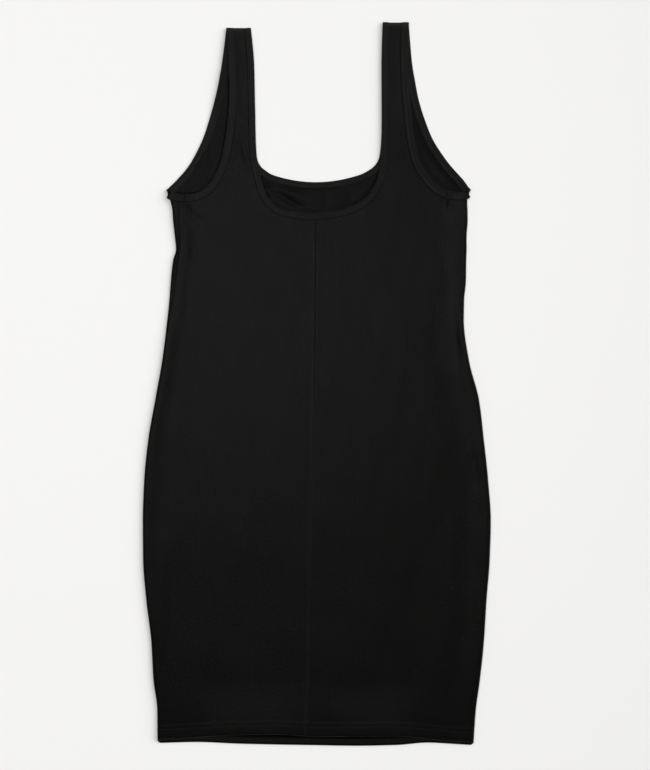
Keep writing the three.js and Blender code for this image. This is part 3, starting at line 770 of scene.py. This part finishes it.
def back_yoke(side):
    """One side of the back's yoke and strap, ruled from the centre line and neckline to the armhole, then
    rolled over the strap's fold on a half circle as high as the strap."""
    neck = cloth_edge(back_neck[side], NECK_BINDING - TUCK)
    neck[0, 0] = centre_x(neck[0, 1])
    low = underarms[side][1]
    corner = np.array([[shoulder_x(side, low), low]])
    arm = np.vstack([corner, cloth_edge(upwards(side, "rear"), ARM_BINDING - TUCK)])
    way = lengths(arm)
    slow = YOKE_RISE * np.linspace(0, 1, YOKE_STEPS + 1)
    rest = np.linspace(0, 1, BACK_STRAP_STEPS + 1)[1:] ** STRAP_ROW_POWER
    arm = read_rows(np.concatenate([slow, mix(YOKE_RISE, way[-1], rest)]), way, arm)
    neck[-1, 1] = arm[-1, 1] = STRAP_FOLD[side]
    centre_y = np.linspace(YOKE_ROW, neck[0, 1], YOKE_STEPS + 1)[:-1]
    inner = np.vstack([np.stack([centre_x(centre_y), centre_y], axis=1), neck])
    t = np.linspace(0, 1, BACK_HALF_STEPS + 1)[None, :, None]
    places = mix(inner[:, None], arm[:, None], t)
    x, y = places[..., 0], places[..., 1]
    flat = np.dstack([x, y, rear_height(x, y)])
    radius = STRAP_LEVEL / 2
    angle = np.pi * (1 - np.linspace(1, 0, FOLD_STEPS + 1)[1:, None] ** STRAP_BEND_POWER)
    last_x, last_y = x[-1:], y[-1:]
    bend = np.dstack([
        last_x + 0 * angle, last_y + radius * np.sin(angle), radius - radius * np.cos(angle) + 0 * last_x,
    ])
    points = np.vstack([flat, bend])
    cloth = np.vstack([np.dstack([x, y]), np.dstack([last_x + 0 * angle, last_y + radius * angle])])
    return (points, cloth) if side == "left" else (points[:, ::-1], cloth[:, ::-1])


def back_grids():
    """The back as three grids: the body from the right side seam round to the left one, and the yokes."""
    right, right_cloth = back_side("right")
    left, left_cloth = back_side("left")
    flat, flat_cloth = back_flat()
    body = np.concatenate([right, flat, left[:, ::-1]], axis=1)
    cloth = np.concatenate([right_cloth, flat_cloth, left_cloth[:, ::-1]], axis=1)
    return [(body, cloth), back_yoke("left"), back_yoke("right")]


def binding_part(part, width):
    """Middle of a binding along a stretch: half its thickness above the table on the back, and on the
    front as far above the inner face of the cloth. Behind the left strap it leans into the crease beside
    the front's binding."""
    at = cloth_edge(part, width / 2)
    x, y = at.T
    half = np.full(len(at), BINDING_THICK / 2)
    if part.front:
        height, lean = front_height(x, y) - PANEL_WALL + half, np.zeros(len(at))
    else:
        lean = STRAP_LEAN * ramp(LEAN_RUN, y) * ramp(LEAN_END, y) * (x < LEAN_SIDE)
        height = half + lean * width / 2
    return np.column_stack([at, height]), np.column_stack([part.across, -lean])


def binding_bend(start, end, outward):
    """Half turn of a binding round a fold: halfway shares of its ends, pushed outward by the sine and
    lowered by the cosine of the turn."""
    t = np.linspace(0, 1, FOLD_STEPS + 3)[1:-1, None]
    (start_at, start_across), (end_at, end_across) = start, end
    middle, half = (start_at[2] + end_at[2]) / 2, (start_at[2] - end_at[2]) / 2
    at = mix(start_at, end_at, t) + np.array(outward) * abs(half) * np.sin(t * np.pi)
    at[:, 2] = middle + half * np.cos(t[:, 0] * np.pi)
    return at, unit(mix(start_across, end_across, t))


def binding_path(stretches, folds, width):
    """A binding's middle line and its way to the cloth, through its stretches and round the folds
    between them. A fold of None joins two stretches that share an end, or ends the strip."""
    parts = [binding_part(part, width) for part in stretches]
    at, across = [], []
    for i, (places, ways) in enumerate(parts):
        last = i + 1 == len(parts)
        keep = len(places) if folds[i] or last else -1
        at.append(places[:keep])
        across.append(ways[:keep])
        if folds[i]:
            following, following_ways = parts[(i + 1) % len(parts)]
            turn = binding_bend((places[-1], ways[-1]), (following[0], following_ways[0]), folds[i])
            at.append(turn[0])
            across.append(turn[1])
    return np.vstack(at), np.vstack(across)


def binding_frame(at, across):
    """Way to the cloth and way up at each place of a binding, square to its run."""
    along = unit(np.gradient(at, axis=0))
    side = unit(across - along * (across * along).sum(axis=1, keepdims=True))
    return side, np.cross(along, side)


def binding_profile(width, rows):
    """Half thickness of a binding from its finished edge to its lip: a flat bar with a round edge, a
    groove at each row of stitches and a lip that slopes straight down and a little into the cloth."""
    edge = BINDING_THICK / 2
    arc = edge * (1 - np.cos(np.linspace(0, np.pi / 2, EDGE_ARC_STEPS)))
    bar = np.linspace(edge, width - BAR_END, BINDING_STEPS)[1:]
    u = np.concatenate([arc, bar, width + LIP])
    rounding = np.sqrt(np.clip(1 - ((edge - u) / edge).clip(0, 1) ** 2, 0, 1))
    swell = BINDING_SWELL * (np.sin(np.pi * np.clip(u / width, 0, 1)) - 1)
    grooves = sum(BINDING_GROOVE * bell(u - row, BINDING_GROOVE_WIDTH) for row in rows)
    slope = mix(edge, -LIP_SUNK, (u - width - LIP[0]) / (LIP[-1] - LIP[0]))
    return u, np.minimum((edge + swell - grooves) * rounding, slope)


def binding_strip(path, width, rows, join):
    """A binding: its profile over the top, round the finished edge and back below, carried along its
    path, with the way along it and the way round it as places on the flat cloth. Its thickness wobbles a
    little. Both ends swell by the share join, where they are joined over a side seam."""
    at, across = path
    side, up = binding_frame(at, across)
    u, half = binding_profile(width, rows)
    round_u = np.concatenate([u[::-1], u[1:]])
    round_v = np.concatenate([half[::-1], -half[1:]])
    way = lengths(at)
    wobble = sum(WOBBLE * np.sin(way / length + i) for i, length in enumerate(WOBBLE_WAVES))
    from_join = np.minimum(way, way[-1] - way)
    groove = JOIN_GROOVE * bell(from_join - JOIN_GROOVE_AT, JOIN_GROOVE_WIDTH)
    ends = join * (1 - smoothstep(from_join, *JOIN_REACH) - groove)
    v = round_v[None] * (1 + wobble + ends)[:, None]
    points = at[:, None] + side[:, None] * (round_u[None] - width / 2)[..., None]
    points = points + up[:, None] * v[..., None]
    round_way = lengths(np.stack([round_u, round_v], axis=1))
    cloth = np.dstack(np.broadcast_arrays(way[:, None], round_way[None]))
    return points, cloth


def binding_rows(path, width, rows):
    """Lines of a binding's rows of stitches on both of its faces, each with the way up from its face."""
    at, across = path
    side, up = binding_frame(at, across)
    u, half = binding_profile(width, rows)
    return [
        (at + side * (row - width / 2) + up * face * np.interp(row, u, half), up * face)
        for row in rows for face in (1, -1)
    ]


def stitches(rows):
    """Stitches along lines: each is a four-sided thread, thicker in its middle and dipped at its ends,
    set at even steps of its line. Returns the corners and the quads of them all."""
    along = np.array([-1, -0.6, 0.6, 1])
    thick = np.array([0.45, 1, 1, 0.45])
    dip = np.array([-1.1, 0, 0, -1.1])
    turn = np.arange(4) * np.pi / 2
    ring_side = thick[:, None] * np.cos(turn) / 2
    ring_up = (thick[:, None] * np.sin(turn) + dip[:, None]) / 2
    shape = np.dstack(np.broadcast_arrays(
        along[:, None] * STITCH_LENGTH / 2, ring_side * THREAD, ring_up * THREAD,
    )).reshape(-1, 3)
    ring = np.arange(4)
    following = (ring + 1) % 4
    wall = np.stack([ring, following, 4 + following, 4 + ring], axis=1)
    template = np.vstack([wall, wall + 4, wall + 8, [[3, 2, 1, 0]], [[12, 13, 14, 15]]])
    corners, quads, start = [], [], 0
    for line, ups in rows:
        way = lengths(line)
        at = np.arange(STITCH_PITCH / 2, way[-1], STITCH_PITCH)
        places = read_rows(at, way, line)
        run = unit(read_rows(at, way, np.gradient(line, way, axis=0)))
        up = unit(read_rows(at, way, ups))
        side = np.cross(up, run)
        axes = np.stack([run, side, up], axis=1)
        corners.append((places[:, None] + shape @ axes).reshape(-1, 3))
        quads.append((template[None] + 16 * np.arange(len(at))[:, None, None]).reshape(-1, 4) + start)
        start += 16 * len(at)
    return np.vstack(corners), np.vstack(quads)


def grid_quads(rows, columns, start):
    """Quads of a grid whose places are counted row by row."""
    i = np.arange(rows * columns).reshape(rows, columns) + start
    return np.stack([i[:-1, :-1], i[:-1, 1:], i[1:, 1:], i[1:, :-1]], axis=-1).reshape(-1, 4)


def make_object(name, points, quads, cloth=None):
    """A smooth object from places in millimetres, with their places on the flat cloth as its UV map."""
    mesh = bpy.data.meshes.new(name)
    mesh.from_pydata((points * MM).tolist(), [], quads.tolist())
    mesh.validate()
    mesh.shade_smooth()
    if cloth is not None:
        corners = np.empty(len(mesh.loops), dtype=np.int32)
        mesh.loops.foreach_get("vertex_index", corners)
        mesh.uv_layers.new(name="Cloth").data.foreach_set("uv", (cloth[corners] * MM).ravel())
    made = bpy.data.objects.new(name, mesh)
    bpy.context.collection.objects.link(made)
    return made


def make_cloth(name, grids, thickness):
    """A piece of cloth from grids of places that are welded where they meet, with its thickness laid
    inwards from its outer face. Its cut edges are sharp, so that they don't shade into its faces."""
    points = np.concatenate([places.reshape(-1, 3) for places, _ in grids])
    cloth = np.concatenate([flat.reshape(-1, 2) for _, flat in grids])
    sizes = [places.shape[:2] for places, _ in grids]
    starts = np.cumsum([0] + [rows * columns for rows, columns in sizes])
    quads = np.concatenate([grid_quads(*size, start) for size, start in zip(sizes, starts)])
    keys = np.round(points / WELD).astype(np.int64)
    _, first, place = np.unique(keys, axis=0, return_index=True, return_inverse=True)
    made = make_object(name, points[first], place.reshape(-1)[quads], cloth[first])
    mesh = made.data
    sides = np.empty(len(mesh.loops), dtype=np.int32)
    mesh.loops.foreach_get("edge_index", sides)
    open_edge = np.bincount(sides, minlength=len(mesh.edges)) == 1
    mesh.attributes.new("sharp_edge", "BOOLEAN", "EDGE").data.foreach_set("value", open_edge)
    wall = made.modifiers.new("Cloth thickness", "SOLIDIFY")
    wall.thickness = thickness * MM
    wall.offset = -1
    wall.material_offset = 1
    return made


def seam_painted_highlight(x, y):
    """Painted highlight on a front panel: paleness painted on the ridge beside the centre seam below the
    bust, where light catches it, and the painted highlight of the strap and its fold."""
    ridge = bell(x - centre_x(y) + SEAM_HIGHLIGHT_FROM, SEAM_HIGHLIGHT_WIDTH)
    return SEAM_HIGHLIGHT * ridge * ramp(SEAM_HIGHLIGHT_RUN, y) + strap_painted_highlight(x, y)


def strap_painted_highlight(x, y):
    """Painted highlight on the straps, and more of it along their folds, where light catches them."""
    fold = np.where(x < 0, STRAP_FOLD["left"], STRAP_FOLD["right"])
    return STRAP_HIGHLIGHT * ramp(STRAP_HIGHLIGHT_RUN, y) + FOLD_HIGHLIGHT * bell(y - fold, FOLD_HIGHLIGHT_WIDTH)


def mark_painted_highlight(made, highlight):
    """Stores the painted highlight at each place, a paleness for the material to mix in."""
    mesh = made.data
    places = np.empty(3 * len(mesh.vertices), dtype=np.float32)
    mesh.vertices.foreach_get("co", places)
    x, y, _ = places.reshape(-1, 3).T / MM
    # The stored attribute is painted highlight: paleness where light catches seam ridges and strap folds
    mesh.attributes.new("Painted highlight", "FLOAT", "POINT").data.foreach_set("value", highlight(x, y).astype(np.float32))


def link(tree, value, socket):
    """Connects an output to an input, or sets the input to a plain value."""
    if isinstance(value, bpy.types.NodeSocket):
        tree.links.new(value, socket)
    else:
        socket.default_value = value


def math_node(tree, operation, *values):
    """A Math node on up to three values, and its result."""
    node = tree.nodes.new("ShaderNodeMath")
    node.operation = operation
    for socket, value in zip(node.inputs, values):
        link(tree, value, socket)
    return node.outputs[0]


def noise(tree, place, scale, detail=2):
    """A noise value from a place and a scale."""
    node = tree.nodes.new("ShaderNodeTexNoise")
    link(tree, place, node.inputs["Vector"])
    node.inputs["Scale"].default_value = scale
    node.inputs["Detail"].default_value = detail
    return node.outputs["Fac"]


def stretched(tree, place, x, y):
    """A place with its two directions scaled apart, so that a noise on it runs into streaks."""
    node = tree.nodes.new("ShaderNodeMapping")
    link(tree, place, node.inputs["Vector"])
    node.inputs["Scale"].default_value = (x, y, 1)
    return node.outputs[0]


def new_group(name, inputs, outputs):
    """An empty node group with named sockets, and its input and output nodes."""
    group = bpy.data.node_groups.new(name, "ShaderNodeTree")
    for label, kind in inputs:
        group.interface.new_socket(label, in_out="INPUT", socket_type=kind)
    for label, kind in outputs:
        group.interface.new_socket(label, in_out="OUTPUT", socket_type=kind)
    return group, group.nodes.new("NodeGroupInput"), group.nodes.new("NodeGroupOutput")


def knit_group():
    """Jersey's knit on flat cloth: each wale holds a column of small V shapes, one for each course. Their
    legs rise beside the wale's middle by a sine across it, and lean down to it by a cosine along it whose
    phase moves with the way from the middle. Puts out the height of the loops."""
    group, given, out = new_group(
        "Jersey knit",
        [("Cloth", "NodeSocketVector"), ("Wale", "NodeSocketFloat"), ("Course", "NodeSocketFloat")],
        [("Height", "NodeSocketFloat")],
    )
    cloth = given.outputs["Cloth"]
    split = group.nodes.new("ShaderNodeSeparateXYZ")
    group.links.new(cloth, split.inputs[0])
    drift = math_node(group, "MULTIPLY", noise(group, cloth, KNIT_DRIFT_SCALE), KNIT_DRIFT)
    x = math_node(group, "ADD", split.outputs[0], drift)
    wale = math_node(group, "FRACT", math_node(group, "DIVIDE", x, given.outputs["Wale"]))
    middle = math_node(group, "ABSOLUTE", math_node(group, "SUBTRACT", wale, 0.5))
    legs = math_node(group, "SINE", math_node(group, "MULTIPLY", middle, 2 * math.pi))
    lean = math_node(group, "MULTIPLY", middle, LEG_LEAN)
    course = math_node(group, "DIVIDE", split.outputs[1], given.outputs["Course"])
    turn = math_node(group, "MULTIPLY", math_node(group, "SUBTRACT", course, lean), 2 * math.pi)
    wave = math_node(group, "COSINE", turn)
    loops = math_node(group, "MULTIPLY_ADD", wave, COURSE_SHARE, 1 - COURSE_SHARE)
    group.links.new(math_node(group, "MULTIPLY", legs, loops), out.inputs["Height"])
    return group


def tone_group():
    """Tone of washed black jersey: streaks along the wales, mottles, soft blotches and fine grain, added up
    by their weights, and a few pale specks of lint where a noise chooses them. Puts out a tone round a
    half, and the lint as a mask."""
    group, given, out = new_group(
        "Jersey tone", [("Cloth", "NodeSocketVector")],
        [("Tone", "NodeSocketFloat"), ("Lint", "NodeSocketFloat")],
    )
    cloth = given.outputs["Cloth"]
    tone = 0
    for row in TONES:
        place = stretched(group, cloth, row["across"], row["along"])
        value = noise(group, place, row["scale"], row["detail"])
        tone = math_node(group, "MULTIPLY_ADD", value, row["weight"], tone)
    specks = group.nodes.new("ShaderNodeTexVoronoi")
    specks.inputs["Scale"].default_value = LINT_SCALE
    group.links.new(stretched(group, cloth, 1, LINT_STRETCH), specks.inputs["Vector"])
    near = math_node(group, "LESS_THAN", specks.outputs["Distance"], LINT_SIZE)
    chosen = math_node(group, "GREATER_THAN", noise(group, cloth, LINT_PATCHES, 0), LINT_FROM)
    group.links.new(tone, out.inputs["Tone"])
    group.links.new(math_node(group, "MULTIPLY", near, chosen), out.inputs["Lint"])
    return group


KNIT = knit_group()
TONE = tone_group()


def placed_group(tree, group, **values):
    """A node group put into a material with its own values."""
    node = tree.nodes.new("ShaderNodeGroup")
    node.node_tree = group
    for name, value in values.items():
        link(tree, value, node.inputs[name])
    return node


def new_material(name):
    """A material with nodes, with its node tree and its shader."""
    material = bpy.data.materials.new(name)
    material.use_nodes = True
    return material, material.node_tree, material.node_tree.nodes["Principled BSDF"]


def blend(tree, share, low, high):
    """A colour between two, each a colour or an output, by a share: inputs 6 and 7 and output 2 of a Mix
    node are the ones for colours."""
    node = tree.nodes.new("ShaderNodeMix")
    node.data_type = "RGBA"
    link(tree, share, node.inputs[0])
    link(tree, low, node.inputs[6])
    link(tree, high, node.inputs[7])
    return node.outputs[2]


def cloth_material(name, dark, light, lint_and_highlight, depth, rough, gloss):
    """Black jersey: a dark and a less dark tone mixed by the washed tone, real lint and painted highlights
    on top in one pale colour, and the knit and the tone as relief of the given depth."""
    material, tree, shader = new_material(name)
    cloth = tree.nodes.new("ShaderNodeUVMap")
    cloth.uv_map = "Cloth"
    tone = placed_group(tree, TONE, Cloth=cloth.outputs[0])
    knit = placed_group(tree, KNIT, Cloth=cloth.outputs[0], Wale=WALE, Course=COURSE)
    base = blend(tree, tone.outputs["Tone"], (*dark, 1), (*light, 1))
    # Painted highlight stored on the cloth, scaled by the tone and added to the lint mask, both mixed
    # towards the pale colour
    highlight_attribute = tree.nodes.new("ShaderNodeAttribute")
    highlight_attribute.attribute_name = "Painted highlight"
    uneven = math_node(tree, "MULTIPLY", tone.outputs["Tone"], 2)
    highlight_and_lint = math_node(tree, "MULTIPLY_ADD", highlight_attribute.outputs["Fac"], uneven, tone.outputs["Lint"])
    tree.links.new(blend(tree, highlight_and_lint, base, (*lint_and_highlight, 1)), shader.inputs["Base Color"])
    roughness = math_node(tree, "MULTIPLY_ADD", tone.outputs["Tone"], TONE_ROUGH, rough)
    tree.links.new(roughness, shader.inputs["Roughness"])
    relief = math_node(tree, "MULTIPLY_ADD", tone.outputs["Tone"], TONE_RELIEF, knit.outputs["Height"])
    bump = tree.nodes.new("ShaderNodeBump")
    bump.inputs["Strength"].default_value = RELIEF_STRENGTH
    bump.inputs["Distance"].default_value = depth
    tree.links.new(relief, bump.inputs["Height"])
    tree.links.new(bump.outputs[0], shader.inputs["Normal"])
    shader.inputs["Specular IOR Level"].default_value = gloss
    shader.inputs["Sheen Weight"].default_value = FUZZ
    shader.inputs["Sheen Roughness"].default_value = FUZZ_ROUGH
    shader.inputs["Sheen Tint"].default_value = FUZZ_TINT
    return material


def thread_material(name, colour):
    """Black sewing thread: twisted plies as slanted waves of a darker shade on Object coordinates."""
    material, tree, shader = new_material(name)
    place = tree.nodes.new("ShaderNodeTexCoord").outputs["Object"]
    plies = tree.nodes.new("ShaderNodeTexWave")
    plies.bands_direction = "DIAGONAL"
    plies.inputs["Scale"].default_value = PLIES_SCALE
    tree.links.new(place, plies.inputs["Vector"])
    dark = [PLIES_SHADE * value for value in colour]
    shade = blend(tree, plies.outputs["Fac"], (*dark, 1), (*colour, 1))
    tree.links.new(shade, shader.inputs["Base Color"])
    shader.inputs["Roughness"].default_value = THREAD_ROUGH
    shader.inputs["Specular IOR Level"].default_value = THREAD_GLOSS
    return material


jersey = cloth_material(
    "Black jersey", dark=(0.0001, 0.0001, 0.0001), light=(0.0009, 0.0009, 0.0007),
    lint_and_highlight=(0.012, 0.012, 0.012), depth=0.00004, rough=0.24, gloss=0.035,
)
binding = cloth_material(
    "Jersey binding", dark=(0.0003, 0.0003, 0.0003), light=(0.0016, 0.0016, 0.0013),
    lint_and_highlight=(0.012, 0.012, 0.012), depth=0.00004, rough=0.25, gloss=0.046,
)
# The back's inside seen through the openings: less glossy than the right side, partly as the duller wrong
# side of the knit and partly as painted shade for its recess under the front
wrong_side_shaded = cloth_material(
    "Jersey wrong side with painted shade", dark=(0.0001, 0.0001, 0.0001), light=(0.0009, 0.0009, 0.0007),
    lint_and_highlight=(0.01, 0.01, 0.01), depth=0.00005, rough=0.26, gloss=0.032,
)
thread = thread_material("Sewing thread", (0.007, 0.007, 0.007))


def dress_piece(made, material, slot, *nodes):
    """Gives a piece its finish, sets it on the dress and lets it stand for its solids."""
    made.data.materials.append(material)
    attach(made, "root")
    if nodes:
        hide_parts(*nodes)
    return made


# Panels
for side in OUTWARD:
    made = make_cloth(f"{side}_front", [front_panel(side)], JERSEY)
    # Painted highlight along the centre seam's ridge and on the strap
    mark_painted_highlight(made, seam_painted_highlight)
    dress_piece(made, jersey, "black_jersey", f"front_{side}_panel")
back = dress_piece(make_cloth("back", back_grids(), JERSEY), jersey, "black_jersey", "back_panel")
# Inner faces take the wrong side's material, which carries painted shade, and the straps get a painted
# highlight
back.data.materials.append(wrong_side_shaded)
mark_painted_highlight(back, strap_painted_highlight)

# Bindings
neck_path = binding_path(
    [front_neck_right, front_neck_left, back_neck_left, back_neck_right],
    [None, PAST_STRAP, None, PAST_STRAP], NECK_BINDING,
)


def armhole_path(side):
    """Path of an armhole's binding: underarm, rear and strap for the left, and the other way for the
    right, with its turns round the side fold and over the strap's fold."""
    parts = [armholes[side][name] for name in ("underarm", "rear", "strap")]
    folds = [(OUTWARD[side], 0, 0), PAST_STRAP]
    if side == "right":
        parts, folds = parts[::-1], folds[::-1]
    return binding_path(parts, [*folds, None], ARM_BINDING)


def fine_joined(path):
    """A path with closer places at its two ends, where the strip's ends are joined."""
    at, across = path
    way = lengths(at)
    near = np.arange(0, JOIN_FINE, JOIN_STEP)
    middle = way[(way > JOIN_FINE) & (way < way[-1] - JOIN_FINE)]
    places = np.concatenate([near, middle, way[-1] - near[::-1]])
    return read_rows(places, way, at), unit(read_rows(places, way, across))


arm_paths = {side: fine_joined(armhole_path(side)) for side in OUTWARD}


def strip_piece(name, node, *strip):
    """A binding as a piece of cloth, with a painted highlight where it goes over the straps."""
    made = make_cloth(name, [binding_strip(*strip)], BINDING_CLOTH)
    mark_painted_highlight(made, strap_painted_highlight)
    return dress_piece(made, binding, "jersey_binding", node)


neck_strip = strip_piece("neck_strip", "neck_binding", neck_path, NECK_BINDING, NECK_ROWS, 0)
for side in OUTWARD:
    strip = arm_paths[side], ARM_BINDING, ARM_ROWS, JOIN_SWELL
    strip_piece(f"{side}_armhole_strip", f"{side}_armhole_binding", *strip)


def hem_line(row, front):
    """Line of a row of hem stitches from fold to fold, on the front's face or on the back's underside."""
    hem = hem_front if front else hem_back
    x = np.linspace(shoulder_x("left", HEM_LINE_Y), shoulder_x("right", HEM_LINE_Y), HEM_LINE_STEPS)
    y = hem(x) + row
    z = panel_height(x, y) if front else rear_height(x, y) + REAR_THREAD_LIFT
    up = np.zeros((len(x), 3))
    up[:, 2] = 1 if front else -1
    return np.stack([x, y, z + THREAD_LIFT], axis=1), up


def thread_piece(name, rows):
    """Rows of stitches as one piece."""
    return dress_piece(make_object(name, *stitches(rows)), thread, "sewing_thread")


hem_thread = thread_piece("hem_thread", [
    hem_line(row, front) for front in (True, False) for row in HEM_ROWS
])
neck_thread = thread_piece("neck_thread", binding_rows(neck_path, NECK_BINDING, NECK_ROWS))
arm_threads = {
    side: thread_piece(f"{side}_armhole_thread", binding_rows(arm_paths[side], ARM_BINDING, ARM_ROWS))
    for side in OUTWARD
}


def pale_table():
    """The plain pale surface that the dress lies on, just below its underside."""
    half = TABLE_HALF
    corners = [(-half, -half), (half, -half), (half, half), (-half, half)]
    places = np.array([(x, y, -TABLE_DROP) for x, y in corners])
    made = make_object("table", places, np.array([[0, 1, 2, 3]]))
    material, _, shader = new_material("Pale surface")
    shader.inputs["Base Color"].default_value = TABLE_COLOUR
    shader.inputs["Roughness"].default_value = TABLE_ROUGH
    shader.inputs["Specular IOR Level"].default_value = TABLE_GLOSS
    made.data.materials.append(material)


def place_lamp(lamp, place):
    """Puts a lamp at a place in millimetres and turns it to the middle of the dress."""
    made = bpy.data.objects.new(lamp.name, lamp)
    made.location = [value * MM for value in place]
    down = -made.location.normalized()
    made.rotation_euler = down.to_track_quat("-Z", "Y").to_euler()
    bpy.context.collection.objects.link(made)


def overhead_light():
    """A square soft box high over the dress, to the left and a little to the straps' side."""
    lamp = bpy.data.lights.new("light_above", "AREA")
    lamp.shape = "SQUARE"
    lamp.size = SOFT_BOX_SIZE * MM
    lamp.energy = SOFT_BOX_POWER
    place_lamp(lamp, SOFT_BOX_PLACE)


def side_light():
    """A far, wide lamp on the right, which lays soft shadows to the left."""
    lamp = bpy.data.lights.new("light_right", "SUN")
    lamp.angle = math.radians(KEY_WIDTH)
    lamp.energy = KEY_STRENGTH
    place_lamp(lamp, KEY_PLACE)


pale_table()
overhead_light()
side_light()

world = bpy.data.worlds.new("Studio")
world.use_nodes = True
world.node_tree.nodes["Background"].inputs["Color"].default_value = SKY_COLOUR
world.node_tree.nodes["Background"].inputs["Strength"].default_value = SKY_STRENGTH
bpy.context.scene.world = world
bpy.context.scene.view_settings.view_transform = "Standard"

camera = bpy.data.cameras.new("camera")
camera.sensor_width = SENSOR
camera.lens = SENSOR * (CAMERA_HEIGHT - BODY_LEVEL) / (FRAME_SIZE[1] * PIXEL)
camera_object = bpy.data.objects.new("camera", camera)
camera_object.location = (FRAME_CENTRE[0] * MM, FRAME_CENTRE[1] * MM, CAMERA_HEIGHT * MM)
bpy.context.collection.objects.link(camera_object)
bpy.context.scene.camera = camera_object

bpy.context.view_layer.update()
